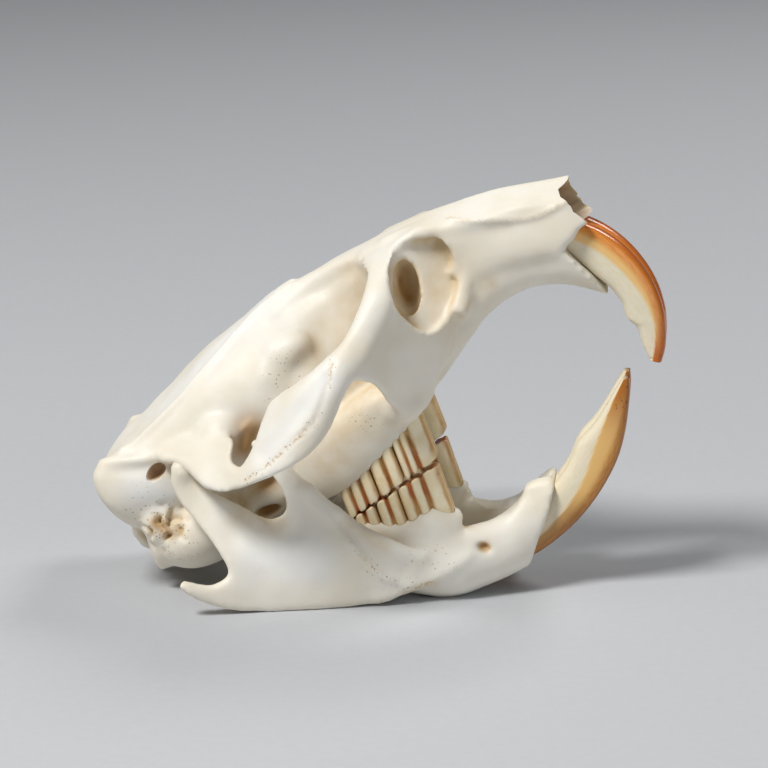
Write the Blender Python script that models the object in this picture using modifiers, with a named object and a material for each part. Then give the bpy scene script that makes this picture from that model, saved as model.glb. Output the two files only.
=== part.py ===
"""A burrowing rodent's skull with its jaws agape, standing on its lower jaw.

The cranium is one grown bone, the lower jaw is two, and sixteen teeth sit in sockets.
Millimetres are used throughout and turned into metres when a mesh is made. Bones and teeth of
the cranium are drawn in its own frame (x forward from the occiput, y left, z up from the
occiput's rear rim) and hang on an empty that pitches the snout up. The lower jaw is drawn
where it stands, with z up from the surface. Only the right side (y below zero) is drawn.
"""

import math

import bmesh
import bpy
import numpy as np
from mathutils import Matrix, Vector

MM = 0.001
RIGHT, LEFT = -1, 1

# Driving dimensions: how the cranium sits over the lower jaw.
SNOUT_PITCH = math.radians(31.0)
OCCIPUT_RIM = (-29.9, 0.0, 14.5)
CLEARANCE = 0.3

# Bone is fused at this cell size and then thinned to these shares of its faces.
CELL = 0.55
CRANIUM_SHARE = 0.078
JAW_SHARE = 0.10

BONE = ("bone", (0.83, 0.78, 0.68), 0.55)
ENAMEL = ("enamel", (0.72, 0.33, 0.06), 0.28)
CHEEK_TOOTH = ("cheek_tooth", (0.80, 0.68, 0.48), 0.38)


def clear_scene():
    for obj in list(bpy.data.objects):
        bpy.data.objects.remove(obj)


def finish_material(name, colour, roughness):
    material = bpy.data.materials.get(name)
    if material is None:
        material = bpy.data.materials.new(name)
        material.use_nodes = True
        shader = material.node_tree.nodes["Principled BSDF"]
        shader.inputs["Base Color"].default_value = (*colour, 1.0)
        shader.inputs["Roughness"].default_value = roughness
        shader.inputs["Metallic"].default_value = 0.0
    return material


def collection_named(name):
    collection = bpy.data.collections.get(name)
    if collection is None:
        collection = bpy.data.collections.new(name)
        bpy.context.scene.collection.children.link(collection)
    return collection


def add_object(name, mesh, collection):
    obj = bpy.data.objects.new(name, mesh)
    collection_named(collection).objects.link(obj)
    return obj


def smooth_rows(rows, steps, closed=False):
    """A Catmull-Rom curve through rows, with this many steps from each row to the next."""
    rows = np.asarray(rows, float)
    count = len(rows)
    spans = count if closed else count - 1
    made = []
    for i in range(spans):
        near = [i - 1, i, i + 1, i + 2]
        near = [k % count if closed else min(max(k, 0), count - 1) for k in near]
        a, b, c, d = rows[near]
        for t in np.arange(steps) / steps:
            turn = 2 * a - 5 * b + 4 * c - d
            twist = 3 * b - a - 3 * c + d
            made.append(0.5 * (2 * b + (c - a) * t + turn * t**2 + twist * t**3))
    if not closed:
        made.append(rows[-1])
    return np.array(made)


def skin_rings(name, rings):
    """A closed mesh over rings of points, each ring joined to the next and both ends capped."""
    bm = bmesh.new()
    loops = [[bm.verts.new(Vector(p) * MM) for p in ring] for ring in rings]
    for first, second in zip(loops, loops[1:]):
        for i in range(len(first)):
            k = (i + 1) % len(first)
            bm.faces.new((first[i], first[k], second[k], second[i]))
    bm.faces.new(loops[0])
    bm.faces.new(reversed(loops[-1]))
    bmesh.ops.recalc_face_normals(bm, faces=bm.faces)
    mesh = bpy.data.meshes.new(name)
    bm.to_mesh(mesh)
    bm.free()
    return mesh


def lofted_vault(name, stations, steps=4):
    """A body mirrored about y = 0. Each station is x and its half outline, roof to floor, as (y, z)."""
    xs = smooth_rows([[x] for x, _ in stations], steps)
    halves = smooth_rows([outline for _, outline in stations], steps)
    rings = []
    for (x,), half in zip(xs, halves):
        half = smooth_rows(half, steps)
        half[:, 0] = np.maximum(half[:, 0], 0)
        other = half[-2:0:-1] * (-1, 1)
        rings.append([(x, y, z) for y, z in np.concatenate([half, other])])
    return skin_rings(name, rings)


def limb(name, stations, around=16):
    """A tapering limb of bone through stations (x, y, z, half width, half height)."""
    rows = smooth_rows(stations, 4)
    rings = []
    for i, row in enumerate(rows):
        ahead = rows[min(i + 1, len(rows) - 1)][:3] - rows[max(i - 1, 0)][:3]
        ahead = Vector(ahead).normalized()
        across = ahead.cross(Vector((0, 0, 1)))
        if across.length < 0.2:
            across = Vector((0, 1, 0))
        across = (across - ahead * across.dot(ahead)).normalized()
        up = across.cross(ahead)
        centre = Vector(row[:3])
        angles = [2 * math.pi * k / around for k in range(around)]
        rings.append(
            [centre + across * row[3] * math.cos(a) + up * row[4] * math.sin(a) for a in angles]
        )
    return skin_rings(name, rings)


def lump(name, centre, radii, pitch=0.0, around=24):
    """A rounded mass of bone, pitched nose-up by this many degrees."""
    bm = bmesh.new()
    bmesh.ops.create_uvsphere(bm, u_segments=around, v_segments=around // 2, radius=1.0)
    place = Matrix.Translation(Vector(centre) * MM) @ Matrix.Rotation(-math.radians(pitch), 4, "Y")
    bmesh.ops.transform(bm, matrix=place @ Matrix.Diagonal((*(Vector(radii) * MM), 1)), verts=bm.verts)
    mesh = bpy.data.meshes.new(name)
    bm.to_mesh(mesh)
    bm.free()
    return mesh


def depth_surface(spots):
    """The smooth surface y(x, z) through spots (x, z, y), as a thin metal sheet would bend."""
    spots = np.asarray(spots, float)
    places = spots[:, :2]

    def bend(points):
        gap = np.linalg.norm(points[:, None] - places[None], axis=2)
        return gap**2 * np.log(np.maximum(gap, 1e-9))

    count = len(spots)
    flat = np.column_stack([np.ones(count), places])
    system = np.block([[bend(places), flat], [flat.T, np.zeros((3, 3))]])
    weights = np.linalg.solve(system, np.concatenate([spots[:, 2], np.zeros(3)]))

    def depth(points):
        return bend(points) @ weights[:count] + weights[count] + points @ weights[count + 1:]

    return depth


def remeshed(name, mesh, cell):
    """The mesh rebuilt as even square faces of this size."""
    obj = add_object(name, mesh, "working shapes")
    grid = obj.modifiers.new("cells", "REMESH")
    grid.mode = "VOXEL"
    grid.voxel_size = cell * MM
    bpy.context.view_layer.update()
    graph = bpy.context.evaluated_depsgraph_get()
    made = bpy.data.meshes.new_from_object(obj.evaluated_get(graph))
    bpy.data.objects.remove(obj)
    return made


def blade(name, outline, depths, thickness, edge=0.35):
    """A thin blade of bone: an outline seen from the side, then bowed sideways through depths."""
    path = bpy.data.curves.new(name, "CURVE")
    path.dimensions = "2D"
    path.fill_mode = "BOTH"
    path.extrude = (thickness / 2 - edge) * MM
    path.bevel_depth = edge * MM
    path.bevel_resolution = 1
    path.offset = -edge * MM
    points = smooth_rows(outline, 3, closed=True) * MM
    spline = path.splines.new("POLY")
    spline.points.add(len(points) - 1)
    for point, (x, z) in zip(spline.points, points):
        point.co = (x, z, 0, 1)
    spline.use_cyclic_u = True
    obj = bpy.data.objects.new(name, path)
    bpy.context.scene.collection.objects.link(obj)
    bpy.context.view_layer.update()
    graph = bpy.context.evaluated_depsgraph_get()
    flat = bpy.data.meshes.new_from_object(obj.evaluated_get(graph))
    bpy.data.objects.remove(obj)
    bm = bmesh.new()
    bm.from_mesh(flat)
    bmesh.ops.remove_doubles(bm, verts=bm.verts, dist=0.00001)
    bmesh.ops.rotate(bm, verts=bm.verts, matrix=Matrix.Rotation(math.radians(90), 3, "X"))
    bm.to_mesh(flat)
    bm.free()
    dense = remeshed(name, flat, CELL)
    places = np.array([v.co for v in dense.vertices]) / MM
    places[:, 1] += depth_surface(depths)(places[:, [0, 2]])
    dense.vertices.foreach_set("co", (places * MM).ravel())
    return dense


def side_slab(name, outline, y_from, y_to):
    """A prism whose outline (x, z) is seen from the side, reaching from one y to another."""
    return skin_rings(name, [[(x, y, z) for x, z in outline] for y in (y_from, y_to)])


def on_side(mesh, side):
    """The mesh as drawn on the right, or its mirror image on the left."""
    if side == LEFT:
        mesh = mesh.copy()
        mesh.transform(Matrix.Diagonal((1, -1, 1, 1)))
        mesh.flip_normals()
    return mesh


def fused_bone(name, pieces, share, collection):
    """One bone grown together from overlapping pieces, its joins softened and its faces thinned."""
    bm = bmesh.new()
    for piece in pieces:
        bm.from_mesh(piece)
    mesh = bpy.data.meshes.new(name)
    bm.to_mesh(mesh)
    bm.free()
    obj = add_object(name, remeshed(name, mesh, CELL), collection)
    soften = obj.modifiers.new("soften joins", "SMOOTH")
    soften.factor = 0.5
    soften.iterations = 3
    thin = obj.modifiers.new("thin faces", "DECIMATE")
    thin.ratio = share
    thin.use_collapse_triangulate = True
    obj.data.materials.append(finish_material(*BONE))
    obj.data.shade_smooth()
    return obj


def cut(obj, cutter_mesh, name):
    """Takes the cutter's shape out of the bone."""
    cutter = add_object(name, cutter_mesh, "cutters")
    cutter.parent = obj.parent
    cutter.hide_render = True
    cutter.display_type = "WIRE"
    hole = obj.modifiers.new(name, "BOOLEAN")
    hole.operation = "DIFFERENCE"
    hole.solver = "EXACT"
    hole.object = cutter


# The braincase and snout, as half outlines from the roof's middle to the floor's middle.
VAULT = (
    (-1.8, ((0, -1.9), (5.0, -1.9), (8.4, -2.1), (9.5, -3.4), (8.6, -5.6), (5.8, -7.6), (0, -8.4))),
    (-0.6, ((0, -0.7), (6.0, -0.8), (9.8, -0.7), (10.7, -3.4), (9.8, -6.6), (6.4, -9.2), (0, -10.0))),
    (1.6, ((0, 0.4), (6.0, -0.3), (9.6, -0.5), (10.7, -4.0), (9.9, -7.6), (6.6, -10.8), (0, -11.8))),
    (4.4, ((0, 1.0), (5.8, 0.1), (9.0, -0.8), (10.3, -4.0), (9.7, -8.0), (6.4, -11.6), (0, -12.2))),
    (9.0, ((0, 2.3), (5.4, 1.3), (8.4, 0.1), (9.8, -3.4), (9.4, -8.0), (5.6, -12.0), (0, -12.6))),
    (15.0, ((0, 4.0), (4.4, 3.2), (7.8, 1.2), (9.4, -2.8), (8.8, -8.0), (5.0, -12.2), (0, -12.8))),
    (21.0, ((0, 4.8), (2.8, 4.4), (6.4, 1.9), (8.8, -2.2), (8.2, -7.4), (4.8, -12.2), (0, -13.0))),
    (25.0, ((0, 5.1), (1.6, 4.9), (4.6, 2.0), (7.0, -2.0), (7.0, -7.0), (4.6, -12.2), (0, -13.0))),
    (28.5, ((0, 5.2), (1.2, 5.0), (2.9, 2.4), (4.6, -2.0), (5.4, -6.6), (4.6, -12.2), (0, -13.0))),
    (32.5, ((0, 5.2), (1.8, 5.0), (2.9, 2.6), (3.5, -1.6), (4.2, -6.2), (4.6, -11.8), (0, -12.8))),
    (36.0, ((0, 5.1), (3.4, 4.5), (3.9, 2.4), (3.8, -1.4), (4.1, -5.6), (4.4, -10.8), (0, -11.6))),
    (40.0, ((0, 5.0), (4.2, 4.1), (4.7, 1.6), (4.1, -2.0), (4.0, -5.4), (3.8, -9.0), (0, -9.8))),
    (44.0, ((0, 4.6), (4.4, 3.5), (4.8, 1.0), (4.3, -2.0), (4.2, -4.8), (3.2, -7.4), (0, -8.1))),
    (49.0, ((0, 3.7), (4.5, 2.0), (4.6, 0.0), (4.6, -2.6), (4.3, -5.0), (3.0, -7.3), (0, -7.9))),
    (53.0, ((0, 2.6), (4.4, 0.9), (4.6, -0.8), (4.8, -3.2), (4.5, -6.0), (3.0, -9.2), (0, -9.8))),
    (56.2, ((0, 1.4), (4.1, -0.4), (4.5, -1.8), (4.7, -4.2), (4.5, -8.0), (3.0, -12.2), (0, -12.8))),
    (59.0, ((0, 0.3), (3.8, -1.2), (4.2, -2.4), (4.4, -4.8), (4.2, -9.0), (2.8, -13.4), (0, -14.0))),
)

# The cheek arch and the strut that roots it in the face, seen from the right side.
ARCH_OUTLINE = (
    (38.4, 4.3), (39.6, 3.6), (38.8, 2.9), (37.7, 1.3), (37.2, -1.1), (37.4, -3.2), (38.0, -4.6),
    (39.1, -5.4), (41.0, -5.2), (40.2, -7.4), (37.8, -9.6), (35.4, -11.4), (33.5, -12.9),
    (31.9, -12.1), (31.2, -10.8), (31.1, -9.2), (31.3, -6.9), (30.6, -5.2), (29.8, -5.2),
    (28.2, -6.2), (26.0, -7.9), (23.7, -8.9), (21.0, -9.2), (17.5, -9.0), (15.0, -8.8),
    (13.2, -8.6), (11.5, -8.0), (10.2, -6.6), (9.3, -4.9), (8.2, -3.9), (6.7, -3.2), (7.4, -2.0),
    (11.3, -2.6), (14.0, -3.6), (15.4, -4.6), (15.0, -5.4), (14.6, -6.2), (15.1, -6.9),
    (16.0, -6.7), (17.5, -5.7), (19.2, -4.4), (21.2, -2.8), (23.4, -2.3), (26.7, -1.9),
    (29.3, -1.4), (31.4, -0.8), (33.0, 0.2), (34.7, 1.6), (35.7, 2.6), (35.7, 3.3), (34.9, 4.1),
    (36.4, 4.3),
)
ARCH_DEPTHS = (
    (38.2, 4.2, -3.9), (35.0, 4.2, -3.6), (36.8, 3.9, -5.6), (38.8, 3.3, -7.4), (36.0, 3.2, -8.4),
    (37.8, 2.0, -9.6), (36.0, 1.4, -11.4), (37.2, -2.8, -9.8), (38.2, -5.0, -8.0),
    (40.6, -5.8, -5.0), (37.5, -8.8, -5.8), (35.0, -5.5, -10.0), (34.0, -1.4, -13.2),
    (33.4, -11.8, -7.2), (31.4, -10.4, -9.6), (31.6, -6.6, -13.0), (31.6, -2.6, -15.0),
    (29.6, -3.4, -16.4), (26.0, -5.0, -17.6), (22.0, -6.0, -18.0), (17.5, -7.4, -17.5),
    (13.5, -7.6, -16.0), (10.6, -5.6, -13.4), (8.6, -3.6, -10.8), (7.0, -2.6, -9.8),
    (11.3, -2.9, -10.2), (14.2, -4.2, -11.4), (14.4, -6.6, -15.4),
)

# Where the snout ends: ahead of this line there is only air and the incisors.
SNOUT_FRONT = (
    (56.4, -14.5), (56.0, -12.3), (55.6, -9.5), (55.0, -7.3), (54.5, -5.6), (54.9, -5.15),
    (55.9, -4.95), (57.0, -4.4), (58.1, -4.4), (58.9, -4.0), (58.7, 0.8), (58.7, 3.0),
    (64.0, 3.0), (64.0, -14.5),
)

# The bite broken out of the near side of the nose.
NEAR_BREAK = (
    (60.0, 2.0), (58.7, 1.0), (58.2, 0.3), (57.15, 0.2), (57.0, -0.5), (57.4, -1.6), (57.4, -2.5),
    (58.1, -4.3), (58.9, -4.8), (60.0, -4.8),
)

# The upper cheek-tooth rows: front end and rear end of the grinding line, and the teeth's axis.
UPPER_ROW_FRONT = (31.9, -18.0)
UPPER_ROW_REAR = (19.9, -19.3)
UPPER_AXIS = (0.17, 1.0)
LOWER_ROW_FRONT = (6.7, 14.5)
LOWER_ROW_REAR = (-3.4, 7.6)
LOWER_AXIS = (0.36, -1.0)
ROW_CENTRE_Y = -5.5
MOLAR_HALF_WIDTH = 1.35
MOLAR_ROOT = 8.0
GROOVE_DEPTH = 0.55

# Each upper and lower tooth from front to rear: the widths of the columns on its cheek side.
UPPER_COLUMNS = ((2.5, 1.05, 1.0), (1.7, 1.7), (1.6, 1.35, 1.3))
LOWER_COLUMNS = ((2.1, 1.4, 1.4), (1.3, 1.3), (1.3, 1.2, 1.1))


def upper_alveoli():
    """The blocks of bone that hold the two upper rows, with the palate between them."""
    return lofted_vault(
        "upper alveoli",
        (
            (16.8, ((0, -9), (5, -9), (6.6, -11), (7.0, -13), (6.6, -15.0), (4.0, -15.6), (0, -14.2))),
            (20.5, ((0, -8), (6, -8), (7.9, -10), (8.0, -13), (7.7, -16.0), (4.2, -16.2), (0, -14.6))),
            (26.0, ((0, -8), (6, -8), (8.1, -9), (8.3, -12), (7.9, -14.8), (4.2, -15.2), (0, -13.8))),
            (31.5, ((0, -8), (6, -8), (8.1, -9), (8.3, -11), (7.7, -12.9), (4.4, -13.6), (0, -12.8))),
            (34.6, ((0, -8), (4, -8), (5.6, -9), (6.0, -10), (5.6, -11.8), (4.2, -12.4), (0, -11.6))),
        ),
    )


def zygomatic_side():
    """The right cheek arch with its front root and the squamosal shelf behind it."""
    return blade("cheek arch", ARCH_OUTLINE, ARCH_DEPTHS, 1.7)


def cranium_side_pieces():
    """What the braincase carries on its right side: ear bulla, mastoid, spur, palate wing."""
    return [
        zygomatic_side(),
        lump("ear bulla", (5.0, -7.2, -12.4), (5.2, 4.0, 3.8), pitch=-12),
        lump("mastoid", (2.6, -8.6, -9.4), (2.4, 2.2, 2.8)),
        limb("cheek window rim", ((39.4, -4.9, 3.5, 0.8, 0.7), (41.8, -4.8, 3.5, 0.8, 0.7), (43.7, -4.7, 2.2, 0.8, 0.8), (43.9, -5.0, -0.4, 0.8, 0.8), (43.1, -5.4, -3.2, 0.8, 1.0), (41.0, -5.9, -5.8, 1.0, 1.0))),
        lump("squamosal corner", (23.0, -5.4, -1.0), (4.8, 3.0, 3.0), pitch=15),
        lump("squamosal root", (13.2, -8.2, -4.2), (3.0, 3.2, 2.8), pitch=8),
        lump("cheek root", (31.6, -7.0, -10.9), (2.6, 2.2, 2.4), pitch=30),
        lump("throat side", (13.0, -4.8, -13.0), (4.4, 2.7, 2.6), pitch=8),
        limb("ear spur", ((1.8, -8.2, -9.0, 1.6, 1.4), (0.6, -8.0, -11.8, 1.3, 1.1), (-0.2, -7.6, -14.0, 0.8, 0.7))),
        limb("condyle", ((0.6, -2.6, -12.6, 1.2, 1.4), (-1.6, -2.9, -10.6, 1.3, 1.3), (-1.0, -3.4, -8.2, 1.0, 1.0))),
        limb("palate wing", ((20.0, -3.2, -13.4, 0.7, 1.6), (15.5, -3.0, -14.6, 0.6, 1.8), (11.0, -3.6, -14.4, 0.6, 1.2), (8.4, -4.4, -13.4, 0.8, 0.9))),
    ]


def circle_point(centre, radius, degrees):
    angle = math.radians(degrees)
    return centre[0] + radius * math.cos(angle), centre[1] + radius * math.sin(angle)


def incisor(name, centre, y_centre, stations, grow=0.0):
    """A curved gnawing tooth swept about centre (x, z). Each station is an angle in degrees,
    the radii of its inner and outer curves, and its half width."""
    rings = []
    for degrees, inner, outer, half_width in stations:
        middle = (inner + outer) / 2
        half_depth = (outer - inner) / 2 + grow
        ring = []
        for k in range(12):
            angle = 2 * math.pi * k / 12
            bulge_x, bulge_y = math.cos(angle), math.sin(angle)
            reach = (abs(bulge_x) ** 3 + abs(bulge_y) ** 3) ** (-1 / 3)
            x, z = circle_point(centre, middle + half_depth * bulge_x * reach, degrees)
            ring.append((x, y_centre + (half_width + grow) * bulge_y * reach, z))
        rings.append(ring)
    return skin_rings(name, rings)


UPPER_INCISOR_CENTRE = (17.7, 28.5)
UPPER_INCISOR = (
    (90, 9.6, 12.3, 1.2), (80, 9.2, 12.5, 1.4), (66, 8.5, 12.55, 1.5), (50, 8.2, 12.55, 1.5),
    (36, 8.5, 12.6, 1.5), (23, 8.8, 12.75, 1.5), (12.5, 8.85, 12.85, 1.45), (4.5, 9.8, 12.9, 1.4),
    (-6, 10.5, 12.95, 1.3), (-13.5, 11.5, 12.85, 1.2),
)
LOWER_INCISOR_CENTRE = (4.2, 22.0)
LOWER_INCISOR = (
    (-70, 19.4, 22.2, 1.2), (-60, 18.6, 22.3, 1.4), (-48, 18.2, 22.45, 1.5), (-38, 18.1, 22.55, 1.5),
    (-27, 18.15, 22.65, 1.5), (-18.3, 18.15, 22.75, 1.45), (-11.1, 19.2, 22.7, 1.4),
    (-4, 20.3, 22.65, 1.25), (0.5, 21.1, 22.7, 1.0), (4.0, 21.95, 22.65, 0.75),
)
INCISOR_Y = -1.8


def column_edge(widths, length, outward):
    """One side of a cheek tooth from above: rounded columns with sharp grooves between them."""
    scale = length / sum(widths)
    start = 0.0
    edge = []
    for width in widths:
        half = width * scale / 2
        for share in (-1.0, -0.72, 0.0, 0.72):
            bulge = math.sqrt(max(0.0, 1 - share**2))
            inset = GROOVE_DEPTH * (1 - bulge)
            edge.append((start + half * (1 + share), outward * (MOLAR_HALF_WIDTH - inset)))
        start += 2 * half
    return edge


def molar(name, row_front, row_rear, axis, start, widths, row_length, root):
    """A prism with column-like sides, from its grinding face down its axis into the socket."""
    front, rear = np.array(row_front), np.array(row_rear)
    along = (rear - front) / np.linalg.norm(rear - front)
    length = sum(widths) / row_length * np.linalg.norm(rear - front) - CLEARANCE
    cheek = column_edge(widths, length, -1)
    tongue = column_edge(widths[::-1], length, 1)
    tongue = [(length - s, y) for s, y in tongue]
    outline = cheek + tongue
    origin = front + along * start
    down = np.array(axis) * root
    rings = []
    for step in (0.0, 1.0):
        ring = []
        for s, y in outline:
            x, z = origin + along * s + down * step
            ring.append((x, ROW_CENTRE_Y + y, z))
        rings.append(ring)
    return skin_rings(name, rings)


def socket(name, row_front, row_rear, axis, root):
    """The trough that a row of cheek teeth stands in, a little wider than the teeth."""
    front, rear = np.array(row_front), np.array(row_rear)
    along = (rear - front) / np.linalg.norm(rear - front)
    front, rear = front - along * CLEARANCE, rear + along * CLEARANCE
    half = MOLAR_HALF_WIDTH + CLEARANCE
    corners = [(front, -half), (rear, -half), (rear, half), (front, half)]
    rings = []
    for reach in (-1.0, root + CLEARANCE):
        shift = np.array(axis) * reach
        rings.append([((p + shift)[0], ROW_CENTRE_Y + y, (p + shift)[1]) for p, y in corners])
    return skin_rings(name, rings)


def add_molars(prefix, side, row_front, row_rear, axis, columns, parent, root):
    total = sum(sum(widths) for widths in columns)
    row_span = math.dist(row_front, row_rear)
    start = 0.0
    for number, widths in enumerate(columns, 1):
        word = "right" if side == RIGHT else "left"
        name = f"{prefix}_molar_{number}_{word}"
        mesh = molar(name, row_front, row_rear, axis, start, widths, total, root)
        tooth = add_object(name, on_side(mesh, side), "rodent skull")
        tooth.parent = parent
        tooth.data.materials.append(finish_material(*CHEEK_TOOTH))
        start += sum(widths) / total * row_span


def add_incisor(name, side, centre, stations):
    mesh = on_side(incisor(name, centre, INCISOR_Y, stations), side)
    tooth = add_object(name, mesh, "rodent skull")
    tooth.data.materials.append(finish_material(*ENAMEL))
    tooth.data.shade_smooth()


def build_cranium(tilt):
    side_pieces = cranium_side_pieces()
    pieces = [lofted_vault("braincase and snout", VAULT), upper_alveoli()]
    for side in (RIGHT, LEFT):
        pieces += [on_side(piece, side) for piece in side_pieces]
    cranium = fused_bone("cranium", pieces, CRANIUM_SHARE, "rodent skull")
    cranium.parent = tilt
    cut(cranium, side_slab("snout front", SNOUT_FRONT, -8, 8), "snout front")
    nose = lofted_vault(
        "nose opening",
        (
            (44.0, ((0, 1.2), (1.2, 0.9), (1.8, -0.2), (1.8, -1.0), (1.2, -1.8), (0.6, -2.2), (0, -2.3))),
            (50.0, ((0, 2.0), (2.2, 1.4), (3.3, 0.2), (3.3, -1.0), (2.4, -2.0), (1.2, -2.5), (0, -2.6))),
            (56.0, ((0, 0.6), (2.4, 0.1), (3.5, -1.1), (3.3, -2.0), (2.4, -2.5), (1.2, -2.8), (0, -2.9))),
            (60.0, ((0, -0.8), (2.4, -1.2), (3.3, -1.9), (3.2, -2.4), (2.4, -2.9), (1.2, -3.1), (0, -3.2))),
        ),
        steps=2,
    )
    cut(cranium, nose, "nose opening")
    cut(cranium, side_slab("near break", NEAR_BREAK, -8, -0.3), "near break")
    cut(cranium, lump("foramen magnum", (-1.0, 0, -7.4), (7.0, 2.7, 2.4), around=16), "foramen magnum")
    for side in (RIGHT, LEFT):
        trough = socket("upper socket", UPPER_ROW_FRONT, UPPER_ROW_REAR, UPPER_AXIS, MOLAR_ROOT)
        cut(cranium, on_side(trough, side), "upper socket")
        root_hole = incisor("incisor socket", UPPER_INCISOR_CENTRE, INCISOR_Y, UPPER_INCISOR, CLEARANCE)
        root_hole.transform(tilt.matrix_world.inverted())
        cut(cranium, on_side(root_hole, side), "upper incisor socket")


# The ramus of the lower jaw, with its three processes, seen from the right side.
RAMUS_OUTLINE = (
    (-20.5, 14.9), (-19.3, 14.5), (-18.3, 13.5), (-17.0, 12.4), (-14.8, 11.5), (-12.4, 10.4),
    (-11.1, 9.9), (-9.9, 10.0), (-9.0, 10.7), (-9.0, 12.0), (-9.6, 13.4), (-10.7, 15.0),
    (-12.2, 16.9), (-12.8, 18.1), (-11.5, 18.5), (-9.9, 17.2), (-8.5, 15.6), (-6.9, 14.0),
    (-5.3, 12.2), (-3.0, 10.4), (-0.6, 8.5), (1.8, 7.2), (4.1, 5.9), (7.1, 4.6), (8.3, 3.5),
    (6.4, 2.2), (4.2, 1.2), (2.6, 0.7), (1.0, 0.3), (-1.7, 0.0), (-5.3, -0.1), (-7.4, -0.1),
    (-10.5, -0.1), (-14.2, 0.3), (-17.2, 1.4), (-19.1, 2.7), (-19.9, 3.6), (-19.2, 4.0),
    (-17.1, 3.3), (-15.8, 3.4), (-14.9, 4.0), (-14.9, 4.8), (-16.4, 7.0), (-18.1, 8.9),
    (-19.9, 10.8), (-21.0, 12.5), (-21.4, 13.9),
)
RAMUS_DEPTHS = (
    (-20.4, 14.6, -11.8), (-19.8, 11.4, -12.2), (-16.4, 8.6, -13.2), (-14.0, 6.0, -14.0),
    (-19.6, 3.6, -17.0), (-16.5, 2.0, -15.8), (-12.0, 1.0, -14.2), (-14.5, 10.8, -12.2),
    (-11.0, 8.0, -12.6), (-12.2, 17.8, -12.2), (-8.8, 14.6, -12.3), (-6.0, 12.2, -12.0),
    (-6.0, 6.0, -12.6), (-6.0, 1.0, -12.6), (-1.0, 8.4, -11.2), (0.0, 4.0, -11.0), (0.0, 0.8, -10.8),
    (4.0, 5.4, -9.8), (4.0, 2.0, -9.6), (7.6, 4.0, -8.2),
)


# Where the jaw's bone ends in front, as a line round the incisor's mouth.
JAW_FRONT = (
    (16.4, 2.0), (16.8, 3.7), (17.7, 6.7), (18.5, 8.8), (19.0, 11.3), (19.5, 12.0), (19.5, 18.0),
    (28.0, 18.0), (28.0, 2.0),
)
JAW_TOP = (
    (11.0, 8.0), (12.6, 8.0), (14.0, 8.6), (15.0, 9.5), (15.6, 10.5), (15.9, 11.5), (16.9, 12.0),
    (18.2, 12.3), (19.2, 12.2), (22.0, 12.0), (22.0, 20.0), (10.0, 20.0),
)


def jaw_side_pieces():
    """The right half of the lower jaw: ramus, body, tooth block and the case of the incisor."""
    body = (
        (-6.5, -8.8, 4.6, 1.8, 2.4), (-2.0, -7.8, 3.8, 2.4, 3.0), (3.0, -7.0, 3.8, 3.0, 3.3),
        (7.6, -6.4, 3.6, 3.1, 3.8), (11.0, -4.9, 4.1, 3.0, 3.5), (14.2, -3.7, 5.2, 2.7, 3.3),
        (17.0, -2.6, 7.2, 2.4, 3.9), (20.4, -2.3, 9.9, 2.1, 4.1),
    )
    block = (
        (-4.4, -6.0, 4.6, 2.0, 2.2), (-0.7, -6.1, 5.0, 2.4, 3.0), (2.4, -6.1, 4.9, 2.5, 3.0),
        (5.2, -6.0, 5.6, 2.5, 3.2), (7.2, -5.7, 6.6, 2.4, 3.5), (8.2, -5.4, 6.3, 2.0, 2.7),
    )
    return [
        blade("ramus", RAMUS_OUTLINE, RAMUS_DEPTHS, 1.6),
        limb("body", body),
        limb("tooth block", block),
        lump("condyle head", (-20.3, -11.8, 14.5), (1.3, 1.2, 1.0), pitch=-40),
        lump("lip bump", (16.9, -2.6, 10.9), (1.7, 1.4, 1.7)),
    ]


def box_of_air(name, low, high):
    """A plain box between two opposite corners."""
    (x0, y0, z0), (x1, y1, z1) = low, high
    return side_slab(name, ((x0, z0), (x1, z0), (x1, z1), (x0, z1)), y0, y1)


def build_jaw_half(side, pieces):
    word = "right" if side == RIGHT else "left"
    half = fused_bone(f"mandible_{word}", [on_side(p, side) for p in pieces], JAW_SHARE, "rodent skull")
    past_midline = box_of_air("past midline", (-30, -CLEARANCE / 2, -5), (30, 5, 30))
    cut(half, on_side(past_midline, side), "symphysis plane")
    cut(half, box_of_air("surface below", (-40, -30, -5), (40, 30, 0)), "resting plane")
    cut(half, on_side(side_slab("lip line", JAW_FRONT, -8, 1), side), "lip line")
    cut(half, on_side(side_slab("lip top", JAW_TOP, -8, 1), side), "lip top")
    trough = socket("lower socket", LOWER_ROW_FRONT, LOWER_ROW_REAR, LOWER_AXIS, MOLAR_ROOT * 0.7)
    cut(half, on_side(trough, side), "lower socket")
    hole = incisor("lower incisor socket", LOWER_INCISOR_CENTRE, INCISOR_Y, LOWER_INCISOR, CLEARANCE)
    cut(half, on_side(hole, side), "lower incisor socket")


def main():
    clear_scene()
    tilt = bpy.data.objects.new("cranium tilt", None)
    collection_named("rodent skull").objects.link(tilt)
    tilt.location = Vector(OCCIPUT_RIM) * MM
    tilt.rotation_euler = (0, -SNOUT_PITCH, 0)
    bpy.context.view_layer.update()
    build_cranium(tilt)
    jaw_pieces = jaw_side_pieces()
    for side in (RIGHT, LEFT):
        word = "right" if side == RIGHT else "left"
        build_jaw_half(side, jaw_pieces)
        add_molars("upper", side, UPPER_ROW_FRONT, UPPER_ROW_REAR, UPPER_AXIS, UPPER_COLUMNS, tilt, MOLAR_ROOT)
        add_molars("lower", side, LOWER_ROW_FRONT, LOWER_ROW_REAR, LOWER_AXIS, LOWER_COLUMNS, None, MOLAR_ROOT * 0.7)
        add_incisor(f"upper_incisor_{word}", side, UPPER_INCISOR_CENTRE, UPPER_INCISOR)
        add_incisor(f"lower_incisor_{word}", side, LOWER_INCISOR_CENTRE, LOWER_INCISOR)


main()
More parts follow.
